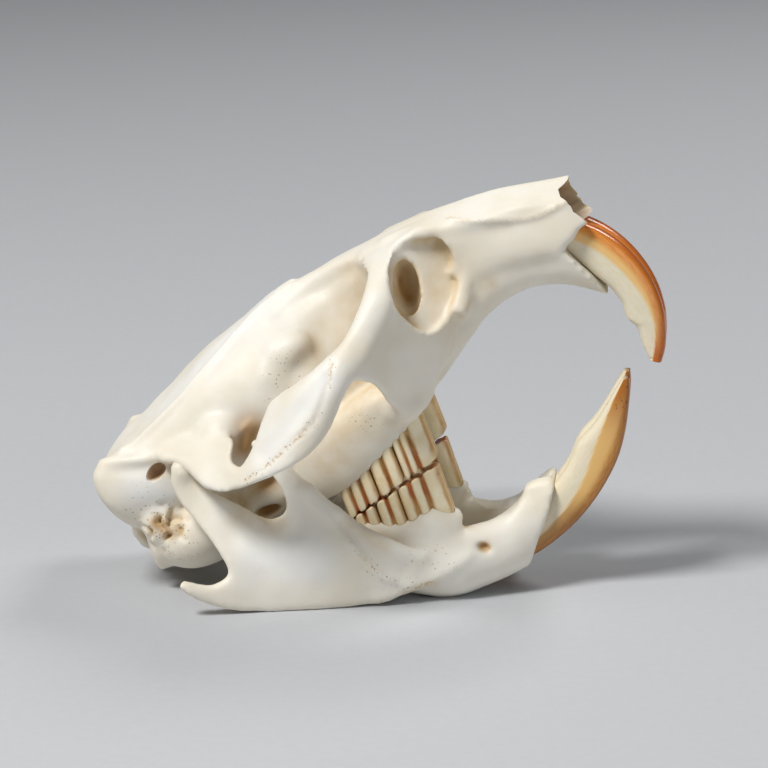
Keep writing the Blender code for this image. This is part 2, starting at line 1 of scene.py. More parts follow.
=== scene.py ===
"""A gopher's skull with its jaws agape, resting on its lower jaw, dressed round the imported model.

Working shapes are in millimetres and turned into metres as they are placed. Whatever belongs to
the cranium is drawn in its own frame (x forward from the occiput, y left, z up from the rim of
the occiput) and then pitched nose-up. The lower jaw is drawn where it stands. Only the right
side (y below zero) is drawn, and the left is its mirror image.
"""

import math

import bmesh
import bpy
import numpy as np
from mathutils import Matrix, Vector, kdtree, noise
from mathutils.bvhtree import BVHTree


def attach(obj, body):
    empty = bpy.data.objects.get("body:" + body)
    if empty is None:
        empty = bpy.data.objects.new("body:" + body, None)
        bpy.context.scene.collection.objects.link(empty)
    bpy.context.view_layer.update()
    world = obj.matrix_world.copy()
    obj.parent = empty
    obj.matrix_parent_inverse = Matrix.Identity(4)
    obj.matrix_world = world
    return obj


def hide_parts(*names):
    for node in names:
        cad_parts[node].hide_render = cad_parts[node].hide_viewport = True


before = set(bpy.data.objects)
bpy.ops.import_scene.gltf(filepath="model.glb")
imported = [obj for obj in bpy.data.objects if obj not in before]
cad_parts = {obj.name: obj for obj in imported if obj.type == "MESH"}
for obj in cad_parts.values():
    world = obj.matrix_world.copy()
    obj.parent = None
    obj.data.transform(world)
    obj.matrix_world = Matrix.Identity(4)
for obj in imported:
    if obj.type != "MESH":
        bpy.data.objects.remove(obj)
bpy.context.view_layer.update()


# Cheek teeth: twelve ever-growing prisms, three to a row, each a bundle of enamel columns
# round a core of dentine. They come first because the sockets in the bone are cut to them.
# Rust-brown matter has settled in the grooves near the bite.
SNOUT_PITCH = math.radians(31.0)
OCCIPUT_RIM = np.array((-29.9, 0.0, 14.5))
UPPER_ROW = ((31.9, -18.0), (19.9, -19.3), (0.17, 1.0), 8.0)
LOWER_ROW = ((6.7, 14.5), (-3.4, 7.6), (0.36, -1.0), 5.6)
UPPER_COLUMNS = ((2.5, 1.05, 1.0), (1.7, 1.7), (1.6, 1.35, 1.3))
LOWER_COLUMNS = ((2.1, 1.4, 1.4), (1.3, 1.3), (1.3, 1.2, 1.1))
ROW_CENTRE_Y = -5.5
COLUMN_DEPTH = 0.85
CORE_HALF = 0.62
MOLAR_HALF_WIDTH = 1.35
COLUMN_FILL = 0.94
GAP_BETWEEN_TEETH = 0.08
TOOTH_CELL = 0.11
CORE_SHORTER_BY = 0.5
HALF_COLUMN = 0.52


def to_world(points):
    """Points of the cranium's own frame, pitched and set where the cranium rests."""
    c, s = math.cos(SNOUT_PITCH), math.sin(SNOUT_PITCH)
    x, y, z = np.asarray(points, float).T
    return np.column_stack([x * c - z * s, y, x * s + z * c]) + OCCIPUT_RIM


def points_of(mesh):
    flat = np.empty(len(mesh.vertices) * 3)
    mesh.vertices.foreach_get("co", flat)
    return flat.reshape(-1, 3)


def move_points(mesh, points):
    mesh.vertices.foreach_set("co", np.ascontiguousarray(points, float).ravel())
    mesh.update()


def outward(mesh):
    """The mesh's normals at its points."""
    flat = np.empty(len(mesh.vertices) * 3)
    mesh.vertices.foreach_get("normal", flat)
    return flat.reshape(-1, 3)


def note(mesh, name, values):
    """Keeps one number a point on the mesh, for its material to read."""
    layer = mesh.attributes.get(name) or mesh.attributes.new(name, "FLOAT", "POINT")
    layer.data.foreach_set("value", np.clip(values, 0, 1).astype(np.float32))


def smooth_step(values, low, high):
    share = np.clip((values - low) / (high - low), 0, 1)
    return share * share * (3 - 2 * share)


def linked(name, data):
    """A new object in the scene that holds this data."""
    obj = bpy.data.objects.new(name, data)
    bpy.context.scene.collection.objects.link(obj)
    return obj


def settled(obj):
    """The mesh that an object's modifiers make of it. The object itself is let go."""
    bpy.context.view_layer.update()
    graph = bpy.context.evaluated_depsgraph_get()
    mesh = bpy.data.meshes.new_from_object(obj.evaluated_get(graph))
    bpy.data.objects.remove(obj)
    return mesh


def modified(mesh, settings):
    """The mesh after modifiers, given as (type, {setting: value}) in their order."""
    obj = linked("working shape", mesh)
    for kind, values in settings:
        modifier = obj.modifiers.new(kind, kind)
        for name, value in values.items():
            setattr(modifier, name, value)
    return settled(obj)


def remeshed(mesh, cell):
    """The mesh rebuilt as even square faces of this size."""
    return modified(mesh, [("REMESH", {"mode": "VOXEL", "voxel_size": cell})])


def relaxed(mesh, points, times):
    """The points moved halfway to the middle of their neighbours, so many times over."""
    pairs = np.empty(len(mesh.edges) * 2, int)
    mesh.edges.foreach_get("vertices", pairs)
    a, b = pairs.reshape(-1, 2).T
    count = len(points)
    ends = np.concatenate([a, b])
    others = np.concatenate([b, a])
    around = np.maximum(np.bincount(ends, minlength=count), 1)
    for _ in range(times):
        middle = np.column_stack(
            [np.bincount(ends, points[others, k], count) / around for k in range(3)]
        )
        points = points + (middle - points) * 0.5
    return points


def speckle(points, size, seed=0.0):
    """Even noise from -1 to 1 at each point, with spots about this many millimetres wide."""
    return np.array([noise.noise(Vector(p) / size + Vector((seed, seed, seed))) for p in points])


def column_tree():
    """Geometry nodes that stand one enamel column at each given place and join them by a core."""
    tree = bpy.data.node_groups.new("cheek tooth columns", "GeometryNodeTree")
    for name, kind in (
        ("Column places", "NodeSocketGeometry"),
        ("Tooth length", "NodeSocketFloat"),
        ("Crown height", "NodeSocketFloat"),
        ("Column depth", "NodeSocketFloat"),
        ("Core thickness", "NodeSocketFloat"),
        ("Finish", "NodeSocketMaterial"),
    ):
        tree.interface.new_socket(name, in_out="INPUT", socket_type=kind)
    tree.interface.new_socket("Tooth", in_out="OUTPUT", socket_type="NodeSocketGeometry")
    add, join = tree.nodes.new, tree.links.new
    given = add("NodeGroupInput").outputs

    column = add("GeometryNodeMeshCylinder")
    column.inputs["Vertices"].default_value = 40
    column.inputs["Radius"].default_value = 1.0
    column.inputs["Depth"].default_value = 1.0
    width = add("GeometryNodeInputNamedAttribute")
    width.data_type = "FLOAT"
    width.inputs["Name"].default_value = "width"
    half = add("ShaderNodeMath")
    half.operation = "MULTIPLY"
    half.inputs[1].default_value = HALF_COLUMN
    join(width.outputs["Attribute"], half.inputs[0])
    size = add("ShaderNodeCombineXYZ")
    join(half.outputs[0], size.inputs["X"])
    join(given["Column depth"], size.inputs["Y"])
    join(given["Crown height"], size.inputs["Z"])
    stand = add("GeometryNodeInstanceOnPoints")
    join(given["Column places"], stand.inputs["Points"])
    join(column.outputs["Mesh"], stand.inputs["Instance"])
    join(size.outputs[0], stand.inputs["Scale"])

    core_size = add("ShaderNodeCombineXYZ")
    join(given["Tooth length"], core_size.inputs["X"])
    join(given["Core thickness"], core_size.inputs["Y"])
    join(given["Crown height"], core_size.inputs["Z"])
    core = add("GeometryNodeMeshCube")
    join(core_size.outputs[0], core.inputs["Size"])

    together = add("GeometryNodeJoinGeometry")
    join(stand.outputs["Instances"], together.inputs[0])
    join(core.outputs["Mesh"], together.inputs[0])
    real = add("GeometryNodeRealizeInstances")
    join(together.outputs[0], real.inputs[0])
    finish = add("GeometryNodeSetMaterial")
    join(real.outputs[0], finish.inputs["Geometry"])
    join(given["Finish"], finish.inputs["Material"])
    join(finish.outputs[0], add("NodeGroupOutput").inputs[0])
    return tree


class Paint:
    """A new material, with short ways to add the nodes that all the materials here use."""

    def __init__(self, name):
        self.material = bpy.data.materials.new(name)
        self.material.use_nodes = True
        tree = self.material.node_tree
        self.add = tree.nodes.new
        self.join = tree.links.new
        self.sockets = tree.nodes["Principled BSDF"].inputs

    def feed(self, socket, value):
        """Sets an input to a number or a colour, or links it to the output that is given."""
        if isinstance(value, bpy.types.NodeSocket):
            self.join(value, socket)
        elif socket.type == "RGBA":
            socket.default_value = (*value, 1.0)
        else:
            socket.default_value = value

    def where(self):
        return self.add("ShaderNodeTexCoord").outputs["Object"]

    def read(self, name, output="Fac"):
        """What was noted on the mesh under this name."""
        node = self.add("ShaderNodeAttribute")
        node.attribute_name = name
        return node.outputs[output]

    def noise(self, where, scale, detail=4.0):
        node = self.add("ShaderNodeTexNoise")
        self.feed(node.inputs["Vector"], where)
        self.feed(node.inputs["Scale"], scale)
        self.feed(node.inputs["Detail"], detail)
        return node.outputs["Fac"]

    def mix(self, share, first, second):
        """A colour mix by share, where first and second are colours or outputs."""
        node = self.add("ShaderNodeMix")
        node.data_type = "RGBA"
        self.feed(node.inputs["Factor"], share)
        self.feed(node.inputs["A"], first)
        self.feed(node.inputs["B"], second)
        return node.outputs["Result"]

    def work(self, operation, first, second):
        """Two numbers or outputs worked together."""
        node = self.add("ShaderNodeMath")
        node.operation = operation
        self.feed(node.inputs[0], first)
        self.feed(node.inputs[1], second)
        return node.outputs[0]

    def times(self, first, second):
        return self.work("MULTIPLY", first, second)

    def ramp(self, source, low, high):
        """A smooth rise from 0 to 1 as the source goes from low to high."""
        node = self.add("ShaderNodeMapRange")
        node.interpolation_type = "SMOOTHSTEP"
        self.feed(node.inputs["From Min"], low)
        self.feed(node.inputs["From Max"], high)
        self.feed(node.inputs["Value"], source)
        return node.outputs["Result"]

    def finish(self, colour, roughness, glow, height, strength, depth):
        """Colour, roughness, subsurface glow (weight, radius, scale) and a fine surface bump."""
        self.feed(self.sockets["Base Color"], colour)
        self.feed(self.sockets["Roughness"], roughness)
        for word, value in zip(("Weight", "Radius", "Scale"), glow):
            self.feed(self.sockets[f"Subsurface {word}"], value)
        bump = self.add("ShaderNodeBump")
        self.feed(bump.inputs["Height"], height)
        self.feed(bump.inputs["Strength"], strength)
        self.feed(bump.inputs["Distance"], depth)
        self.join(bump.outputs["Normal"], self.sockets["Normal"])
        return self.material


def cheek_tooth_material():
    """Cream enamel, brown in the grooves and rust-red where they reach the bite."""
    paint = Paint("cheek tooth enamel")
    where = paint.where()
    groove = paint.read("groove")
    mottle = paint.noise(where, 420.0)
    streak = paint.noise(where, 900.0)
    cream = paint.mix(paint.ramp(mottle, 0.3, 0.7), (0.86, 0.72, 0.45), (0.93, 0.85, 0.63))
    halo = paint.times(paint.ramp(groove, -0.1, 0.6), paint.ramp(mottle, 0.05, 0.55))
    tanned = paint.mix(halo, cream, (0.62, 0.39, 0.15))
    stained = paint.times(paint.ramp(groove, 0.45, 1.0), paint.ramp(streak, 0.35, 0.65))
    brown = paint.mix(stained, tanned, (0.34, 0.155, 0.045))
    rusty = paint.times(paint.read("bite"), paint.ramp(mottle, 0.36, 0.56))
    rust = paint.mix(rusty, brown, (0.42, 0.12, 0.025))
    roughness = paint.ramp(streak, -0.6, 2.4)
    return paint.finish(rust, roughness, (0.1, (1.0, 0.6, 0.35), 0.0008), streak, 0.35, 0.00004)


def cheek_tooth(name, tree, finish, widths, length, crown):
    """One tooth in its own frame: x back along the row, z from the bite to the root."""
    scale = length / sum(widths)
    places, spans = [], []
    for side_y in (COLUMN_DEPTH - MOLAR_HALF_WIDTH, MOLAR_HALF_WIDTH - COLUMN_DEPTH):
        start = 0.0
        for width in widths:
            places.append((start + width * scale / 2, side_y))
            spans.append(width * scale * COLUMN_FILL)
            start += width * scale
    seeds = bpy.data.meshes.new(name)
    seeds.from_pydata([(x - length / 2, y, 0) for x, y in places], [], [])
    seeds.attributes.new("width", "FLOAT", "POINT").data.foreach_set("value", spans)
    obj = linked(name, seeds)
    columns = obj.modifiers.new("columns", "NODES")
    columns.node_group = tree
    wanted = {
        "Tooth length": length - CORE_SHORTER_BY,
        "Crown height": crown,
        "Column depth": COLUMN_DEPTH,
        "Core thickness": 2 * CORE_HALF,
        "Finish": finish,
    }
    for item in tree.interface.items_tree:
        if item.name in wanted:
            columns[item.identifier] = wanted[item.name]
    tooth = remeshed(settled(obj), TOOTH_CELL)
    spots = relaxed(tooth, points_of(tooth), 3) + (length / 2, 0, crown / 2)
    edges = np.cumsum([0.0, *widths]) * scale
    near_edge = np.min(np.abs(spots[:, :1] - edges[None]), axis=1)
    worn = np.clip(1 - spots[:, 2] / 0.8, 0, 1)
    notches = 0.24 * np.exp(-((near_edge / 0.25) ** 2))
    spots[:, 2] += worn * (notches + 0.12 * speckle(spots, 0.7) - 0.12)
    move_points(tooth, spots)
    sunk = MOLAR_HALF_WIDTH - 0.02 - np.abs(spots[:, 1]) + 0.10 * speckle(spots * (1, 1, 0.35), 0.5)
    inside = smooth_step(spots[:, 0], 0.0, 0.5) * smooth_step(length - spots[:, 0], 0.0, 0.5)
    note(tooth, "groove", smooth_step(sunk, 0.02, 0.50) * (0.35 + 0.65 * inside))
    near_bite = smooth_step(crown - spots[:, 2], crown - 3.6, crown - 0.6)
    note(tooth, "bite", near_bite * smooth_step(sunk, 0.04, 0.40) * inside)
    return tooth


def shown(name, mesh, finish, node):
    """Puts a finished mesh, already in metres, in the scene in place of its CAD node."""
    mesh.name = name
    mesh.materials.clear()
    mesh.materials.append(finish)
    mesh.shade_smooth()
    obj = linked(name, mesh)
    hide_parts(node)
    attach(obj, "root")
    return obj


def mirrored(mesh):
    """The left-hand twin of a mesh drawn on the right."""
    twin = mesh.copy()
    twin.transform(Matrix.Diagonal((1, -1, 1, 1)))
    twin.flip_normals()
    return twin


def in_metres(mesh):
    mesh.transform(Matrix.Scale(0.001, 4))
    return mesh


def tooth_row(prefix, row, columns, tree, finish):
    """The three right-hand teeth of a row, in millimetres, in the frame that the row is given in."""
    front, rear, axis, crown = row
    front, rear, axis = np.array(front), np.array(rear), np.array(axis)
    span = np.linalg.norm(rear - front)
    along = (rear - front) / span
    total = sum(sum(widths) for widths in columns)
    start = 0.0
    made = []
    for number, widths in enumerate(columns, 1):
        length = sum(widths) / total * span - GAP_BETWEEN_TEETH
        name = f"{prefix}_molar_{number}"
        tooth = cheek_tooth(name, tree, finish, widths, length, crown)
        s, y, h = points_of(tooth).T
        place = front + along * start + s[:, None] * along + h[:, None] * axis
        move_points(tooth, np.column_stack([place[:, 0], ROW_CENTRE_Y + y, place[:, 1]]))
        made.append((name, tooth))
        start += sum(widths) / total * span
    return made


def turned_right_way(mesh):
    """Faces made to point outwards after a shear that may have turned them inside out."""
    bm = bmesh.new()
    bm.from_mesh(mesh)
    if bm.calc_volume(signed=True) < 0:
        bmesh.ops.reverse_faces(bm, faces=bm.faces)
    bm.to_mesh(mesh)
    bm.free()


columns_tree = column_tree()
cheek_enamel = cheek_tooth_material()
upper_teeth = tooth_row("upper", UPPER_ROW, UPPER_COLUMNS, columns_tree, cheek_enamel)
lower_teeth = tooth_row("lower", LOWER_ROW, LOWER_COLUMNS, columns_tree, cheek_enamel)
for name, tooth in upper_teeth + lower_teeth:
    turned_right_way(tooth)
    placed = tooth.copy()
    if name.startswith("upper"):
        move_points(placed, to_world(points_of(placed)))
    in_metres(placed)
    shown(f"{name}_right_shown", placed, cheek_enamel, f"{name}_right")
    shown(f"{name}_left_shown", mirrored(placed), cheek_enamel, f"{name}_left")


# Incisors: four long curved gnawing teeth, dentine with a hard orange face of enamel that wraps
# further round the cheek side than the inner side. Each is swept round a circle, thins to a
# chisel at its worn tip and runs deep into the bone behind.
UPPER_INCISOR_CENTRE = (17.7, 28.5)
UPPER_INCISOR = (
    (90, 9.6, 12.3, 1.2, 10.7), (80, 9.2, 12.5, 1.4, 10.7), (66, 8.5, 12.55, 1.5, 10.7),
    (50, 8.2, 12.55, 1.5, 10.7), (36, 8.5, 12.6, 1.5, 10.85), (23, 8.8, 12.75, 1.5, 11.25),
    (12.5, 8.85, 12.85, 1.45, 11.6), (8.5, 9.2, 12.9, 1.45, 11.7), (4.5, 9.8, 12.9, 1.4, 11.8),
    (-6, 10.5, 12.95, 1.3, 11.85), (-13.5, 11.5, 12.85, 1.2, 11.9),
)
LOWER_INCISOR_CENTRE = (4.2, 22.0)
LOWER_INCISOR = (
    (-70, 19.4, 22.2, 1.2, 21.0), (-60, 18.6, 22.3, 1.4, 20.9), (-48, 18.2, 22.45, 1.5, 20.8),
    (-38, 18.1, 22.55, 1.5, 20.6), (-27, 18.15, 22.65, 1.5, 20.3), (-18.3, 18.15, 22.75, 1.45, 20.0),
    (-11.1, 19.2, 22.7, 1.4, 20.2), (-4, 20.3, 22.65, 1.25, 20.75), (0.5, 21.1, 22.7, 1.0, 21.4),
    (4.0, 21.95, 22.65, 0.75, 22.1),
)
INCISOR_Y = -1.8
INCISOR_AROUND = 64


def smooth_rows(rows, steps, closed=False):
    """A Catmull-Rom curve through rows, with this many steps from each row to the next."""
    rows = np.asarray(rows, float)
    count = len(rows)
    spans = count if closed else count - 1
    made = []
    for i in range(spans):
        near = [i - 1, i, i + 1, i + 2]
        near = [k % count if closed else min(max(k, 0), count - 1) for k in near]
        a, b, c, d = rows[near]
        for t in np.arange(steps) / steps:
            turn = 2 * a - 5 * b + 4 * c - d
            twist = 3 * b - a - 3 * c + d
            made.append(0.5 * (2 * b + (c - a) * t + turn * t**2 + twist * t**3))
    if not closed:
        made.append(rows[-1])
    return np.array(made)


def mesh_of(bm, name):
    """The finished mesh of a bmesh, which is let go."""
    mesh = bpy.data.meshes.new(name)
    bm.to_mesh(mesh)
    bm.free()
    return mesh


def skin_rings(name, rings):
    """A closed mesh over rings of points, each ring joined to the next and both ends capped."""
    bm = bmesh.new()
    loops = [[bm.verts.new(Vector(p)) for p in ring] for ring in rings]
    for first, second in zip(loops, loops[1:]):
        for i in range(len(first)):
            k = (i + 1) % len(first)
            bm.faces.new((first[i], first[k], second[k], second[i]))
    bm.faces.new(loops[0])
    bm.faces.new(reversed(loops[-1]))
    bmesh.ops.recalc_face_normals(bm, faces=bm.faces)
    return mesh_of(bm, name)


def incisor(name, centre, stations, chip=0.0, grow=0.0):
    """A gnawing tooth swept about centre (x, z). Each station is an angle in degrees, the radii
    of its inner and outer curves, its half width and the radius where the enamel begins."""
    rows = smooth_rows(stations, 14)
    angles = 2 * math.pi * np.arange(INCISOR_AROUND) / INCISOR_AROUND
    bulge_r, bulge_y = np.cos(angles), np.sin(angles)
    reach = (np.abs(bulge_r) ** 3 + np.abs(bulge_y) ** 3) ** (-1 / 3)
    depth = np.tile(bulge_r * reach, (len(rows), 1))
    cheek = -np.tile(bulge_y * reach, (len(rows), 1))
    turn = np.radians(np.tile(rows[:, :1], (1, INCISOR_AROUND)))
    middle = (rows[:, 1:2] + rows[:, 2:3]) / 2
    half_depth = (rows[:, 2:3] - rows[:, 1:2]) / 2 + grow
    edge = (rows[:, 4:5] - middle) / half_depth + 0.25 * (1 - cheek)
    enamel = smooth_step(depth - edge, -0.05, 0.05)
    if grow:
        enamel = enamel * 0
    lift = 0.045 * enamel
    radius = middle + (half_depth + lift * np.abs(depth)) * depth
    across = (rows[:, 3:4] + grow + lift * np.abs(cheek)) * -cheek
    x = centre[0] + radius * np.cos(turn)
    z = centre[1] + radius * np.sin(turn)
    spots = np.stack([x, INCISOR_Y + across, z], axis=2)
    along = radius.mean() * np.abs(turn - turn[0, 0])
    if not grow:
        tip = smooth_step(along, along.max() - 3.2, along.max())
        rough = speckle(spots.reshape(-1, 3), 0.55).reshape(depth.shape)
        spots[:, :, 1] += chip * tip * smooth_step(rough, 0.15, 0.5) * np.sign(-cheek) * -0.10
    mesh = skin_rings(name, spots)
    note(mesh, "enamel", enamel.ravel())
    note(mesh, "toward_tip", (along / along.max()).ravel())
    note(mesh, "edge_line", np.exp(-(((depth - edge) / 0.075) ** 2)).ravel())
    note(mesh, "facing", ((depth + 1) / 2).ravel())
    layer = mesh.attributes.new("grain_place", "FLOAT_VECTOR", "POINT")
    grain = np.stack([along * 0.12, depth * 2.0, cheek * 1.5], axis=2)
    layer.data.foreach_set("vector", grain.ravel().astype(np.float32))
    return mesh


def incisor_material(name, root_brown, streak_dark, streak_light, enamel_rim, enamel_deep):
    """Glossy enamel with fine lengthwise streaks, paler at its rim, beside cream dentine."""
    paint = Paint(name)
    grain = paint.noise(paint.read("grain_place", "Vector"), 9.0)
    where = paint.where()
    mottle = paint.noise(where, 260.0)
    specks = paint.noise(where, 1900.0, detail=2.0)
    facing = paint.read("facing")
    toward_tip = paint.read("toward_tip")
    enamel = paint.read("enamel")
    streaks = paint.mix(paint.ramp(grain, 0.3, 0.7), streak_dark, streak_light)
    rim = paint.mix(paint.ramp(facing, 0.86, 0.66), streaks, enamel_rim)
    deep = paint.mix(paint.ramp(facing, 0.88, 1.0), rim, enamel_deep)
    tipped = paint.mix(paint.ramp(toward_tip, 0.72, 1.0), deep, enamel_deep)
    dentine = paint.mix(paint.ramp(grain, 0.2, 0.8), (0.79, 0.70, 0.50), (0.86, 0.79, 0.62))
    edge = paint.times(paint.read("edge_line"), 0.6)
    lined = paint.mix(edge, dentine, (0.80, 0.62, 0.30))
    body = paint.mix(enamel, lined, tipped)
    dirt = paint.times(paint.ramp(specks, 0.62, 0.72), paint.ramp(toward_tip, 0.74, 1.0))
    dirty = paint.mix(dirt, body, (0.16, 0.06, 0.02))
    base = paint.work("SUBTRACT", 1.0, paint.ramp(toward_tip, *root_brown))
    base = paint.times(base, paint.ramp(enamel, -0.4, 1.4))
    browned = paint.mix(paint.times(base, 0.6), dirty, (0.24, 0.09, 0.02))
    dull = paint.work("ADD", paint.times(mottle, 0.14), 0.34)
    roughness = paint.work("ADD", dull, paint.times(enamel, -0.20))
    return paint.finish(browned, roughness, (0.08, (1.0, 0.5, 0.2), 0.0008), grain, 0.10, 0.00004)


upper_enamel = incisor_material("upper incisor enamel", (-0.1, 0.1), (0.70, 0.230, 0.036),
                                (0.82, 0.340, 0.075), (0.88, 0.56, 0.22), (0.56, 0.130, 0.010))
lower_enamel = incisor_material("lower incisor enamel", (0.40, 0.54), (0.52, 0.205, 0.034),
                                (0.68, 0.320, 0.068), (0.80, 0.49, 0.17), (0.40, 0.135, 0.018))
for jaw, centre, stations, chip, finish in (
    ("upper", UPPER_INCISOR_CENTRE, UPPER_INCISOR, 1.0, upper_enamel),
    ("lower", LOWER_INCISOR_CENTRE, LOWER_INCISOR, 0.4, lower_enamel),
):
    tooth = in_metres(incisor(f"{jaw}_incisor", centre, stations, chip))
    shown(f"{jaw}_incisor_right_shown", tooth, finish, f"{jaw}_incisor_right")
    shown(f"{jaw}_incisor_left_shown", mirrored(tooth), finish, f"{jaw}_incisor_left")


# Cranium: braincase, snout, cheek arches, ear bullae and palate, thin ivory bone grown as one
# piece. It is fused from overlapping forms, opened by cutters, then its ridges, sutures and
# pits are worked into the skin. The near nasal bone is broken short at the snout's tip.
CELL = 0.3
VAULT = (
    (-1.8, ((0, -1.9), (5.0, -1.9), (8.4, -2.1), (9.5, -3.4), (8.6, -5.6), (5.8, -7.6), (0, -8.4))),
    (-0.6, ((0, -0.7), (6.0, -0.8), (9.8, -0.7), (10.7, -3.4), (9.8, -6.6), (6.4, -9.2), (0, -10.0))),
    (1.6, ((0, 0.4), (6.0, -0.3), (9.6, -0.5), (10.7, -4.0), (9.9, -7.6), (6.6, -10.8), (0, -11.8))),
    (4.4, ((0, 1.0), (5.8, 0.1), (9.0, -0.8), (10.3, -4.0), (9.7, -8.0), (6.4, -11.6), (0, -12.2))),
    (9.0, ((0, 2.3), (5.4, 1.3), (8.4, 0.1), (9.8, -3.4), (9.4, -8.0), (5.6, -12.0), (0, -12.6))),
    (15.0, ((0, 4.0), (4.4, 3.2), (7.8, 1.2), (9.4, -2.8), (8.8, -8.0), (5.0, -12.2), (0, -12.8))),
    (21.0, ((0, 4.8), (2.8, 4.4), (6.4, 1.9), (8.8, -2.2), (8.2, -7.4), (4.8, -12.2), (0, -13.0))),
    (25.0, ((0, 5.1), (1.6, 4.9), (4.6, 2.0), (7.0, -2.0), (7.0, -7.0), (4.6, -12.2), (0, -13.0))),
    (28.5, ((0, 5.2), (1.2, 5.0), (2.9, 2.4), (4.6, -2.0), (5.4, -6.6), (4.6, -12.2), (0, -13.0))),
    (32.5, ((0, 5.2), (1.8, 5.0), (2.9, 2.6), (3.5, -1.6), (4.2, -6.2), (4.6, -11.8), (0, -12.8))),
    (36.0, ((0, 5.1), (3.4, 4.5), (3.9, 2.4), (3.8, -1.4), (4.1, -5.6), (4.4, -10.8), (0, -11.6))),
    (40.0, ((0, 5.0), (4.2, 4.1), (4.7, 1.6), (4.1, -2.0), (4.0, -5.4), (3.8, -9.0), (0, -9.8))),
    (44.0, ((0, 4.6), (4.4, 3.5), (4.8, 1.0), (4.3, -2.0), (4.2, -4.8), (3.2, -7.4), (0, -8.1))),
    (49.0, ((0, 3.7), (4.5, 2.0), (4.6, 0.0), (4.6, -2.6), (4.3, -5.0), (3.0, -7.3), (0, -7.9))),
    (53.0, ((0, 2.6), (4.4, 0.9), (4.6, -0.8), (4.8, -3.2), (4.5, -6.0), (3.0, -9.2), (0, -9.8))),
    (56.2, ((0, 1.4), (4.1, -0.4), (4.5, -1.8), (4.7, -4.2), (4.5, -8.0), (3.0, -12.2), (0, -12.8))),
    (59.0, ((0, 0.5), (3.8, -1.2), (4.2, -2.4), (4.4, -4.8), (4.2, -9.0), (2.8, -13.4), (0, -14.0))),
)
ALVEOLI = (
    (16.8, ((0, -9), (5, -9), (6.6, -11), (7.0, -13), (6.2, -15.2), (4.0, -15.6), (0, -14.2))),
    (20.5, ((0, -8), (6, -8), (7.9, -10), (8.0, -12.8), (6.9, -16.2), (4.2, -16.2), (0, -14.6))),
    (26.0, ((0, -8), (6, -8), (8.1, -9), (8.2, -11.6), (6.9, -15.0), (4.2, -15.2), (0, -13.8))),
    (31.5, ((0, -8), (6, -8), (8.1, -9), (8.1, -10.2), (6.8, -13.2), (4.4, -13.6), (0, -12.8))),
    (34.6, ((0, -8), (4, -8), (5.6, -9), (6.0, -10), (5.6, -11.8), (4.2, -12.4), (0, -11.6))),
)
ARCH_OUTLINE = (
    (38.4, 4.3), (39.6, 3.6), (38.8, 2.9), (37.7, 1.3), (37.2, -1.1), (37.4, -3.2), (38.0, -4.6),
    (39.1, -5.4), (41.0, -5.2), (40.2, -7.4), (37.8, -9.6), (35.4, -11.4), (33.5, -12.9),
    (31.9, -12.1), (31.2, -10.8), (31.1, -9.2), (31.3, -6.9), (30.6, -5.2), (29.8, -5.2),
    (28.2, -6.2), (26.0, -7.9), (23.7, -8.9), (21.0, -9.2), (17.5, -9.0), (15.0, -8.8),
    (13.2, -8.6), (11.5, -8.0), (10.2, -6.6), (9.3, -4.9), (8.2, -3.9), (6.7, -3.2), (7.4, -2.0),
    (11.3, -2.6), (14.0, -3.6), (15.4, -4.6), (15.0, -5.4), (14.6, -6.2), (15.1, -6.9),
    (16.0, -6.7), (17.5, -5.7), (19.2, -4.4), (21.2, -2.8), (23.4, -2.3), (26.7, -1.9),
    (29.3, -1.4), (31.4, -0.8), (33.0, 0.2), (34.7, 1.6), (35.7, 2.6), (35.7, 3.3), (34.9, 4.1),
    (36.4, 4.3),
)
ARCH_DEPTHS = (
    (38.2, 4.2, -3.9), (35.0, 4.2, -3.6), (36.8, 3.9, -5.6), (38.8, 3.3, -7.4), (36.0, 3.2, -8.4),
    (37.8, 2.0, -9.6), (36.0, 1.4, -11.4), (37.2, -2.8, -9.8), (38.2, -5.0, -8.0),
    (40.6, -5.8, -5.0), (37.5, -8.8, -5.8), (35.0, -5.5, -10.0), (34.0, -1.4, -13.2),
    (33.4, -11.8, -7.2), (31.4, -10.4, -9.6), (31.6, -6.6, -13.0), (31.6, -2.6, -15.0),
    (29.6, -3.4, -16.4), (26.0, -5.0, -17.6), (22.0, -6.0, -18.0), (17.5, -7.4, -17.5),
    (13.5, -7.6, -16.0), (10.6, -5.6, -13.4), (8.6, -3.6, -10.8), (7.0, -2.6, -9.8),
    (11.3, -2.9, -10.2), (14.2, -4.2, -11.4), (14.4, -6.6, -15.4),
)
WEB_OUTLINE = (
    (44.2, 2.2), (44.2, -0.4), (43.4, -3.0), (42.0, -5.4), (39.2, -6.6), (36.8, -4.8),
    (36.3, -1.4), (36.8, 2.0), (38.6, 4.0), (42.0, 4.0),
)
WINDOW_OUTLINE = (
    (43.8, 2.0), (44.1, 0.1), (43.6, -0.94), (42.7, -1.8), (43.2, -2.7), (42.1, -4.0),
    (41.2, -4.7), (40.2, -5.45), (38.7, -5.73), (37.8, -5.07), (37.26, -3.15), (37.16, -0.73),
    (37.8, 1.65), (38.5, 2.8), (39.65, 3.5), (41.15, 3.5), (42.5, 3.0),
)
WINDOW_FLOOR = (
    (43.5, 1.0, -3.5), (43.2, -2.0, -3.5), (42.0, -4.5, -4.3), (39.0, -5.6, -6.2), (37.4, -4.2, -7.2),
    (37.2, 0.0, -7.0), (38.0, 2.8, -6.6), (40.5, 3.4, -4.8), (42.5, 2.8, -3.7), (40.5, -1.0, -4.7),
)
SNOUT_FRONT = (
    (56.4, -14.5), (56.0, -12.3), (55.6, -9.5), (55.0, -7.3), (54.5, -5.6), (54.9, -5.15),
    (55.9, -4.95), (57.0, -4.4), (58.1, -4.4), (58.9, -4.0), (58.7, 0.8), (58.7, 3.0),
    (64.0, 3.0), (64.0, -14.5),
)
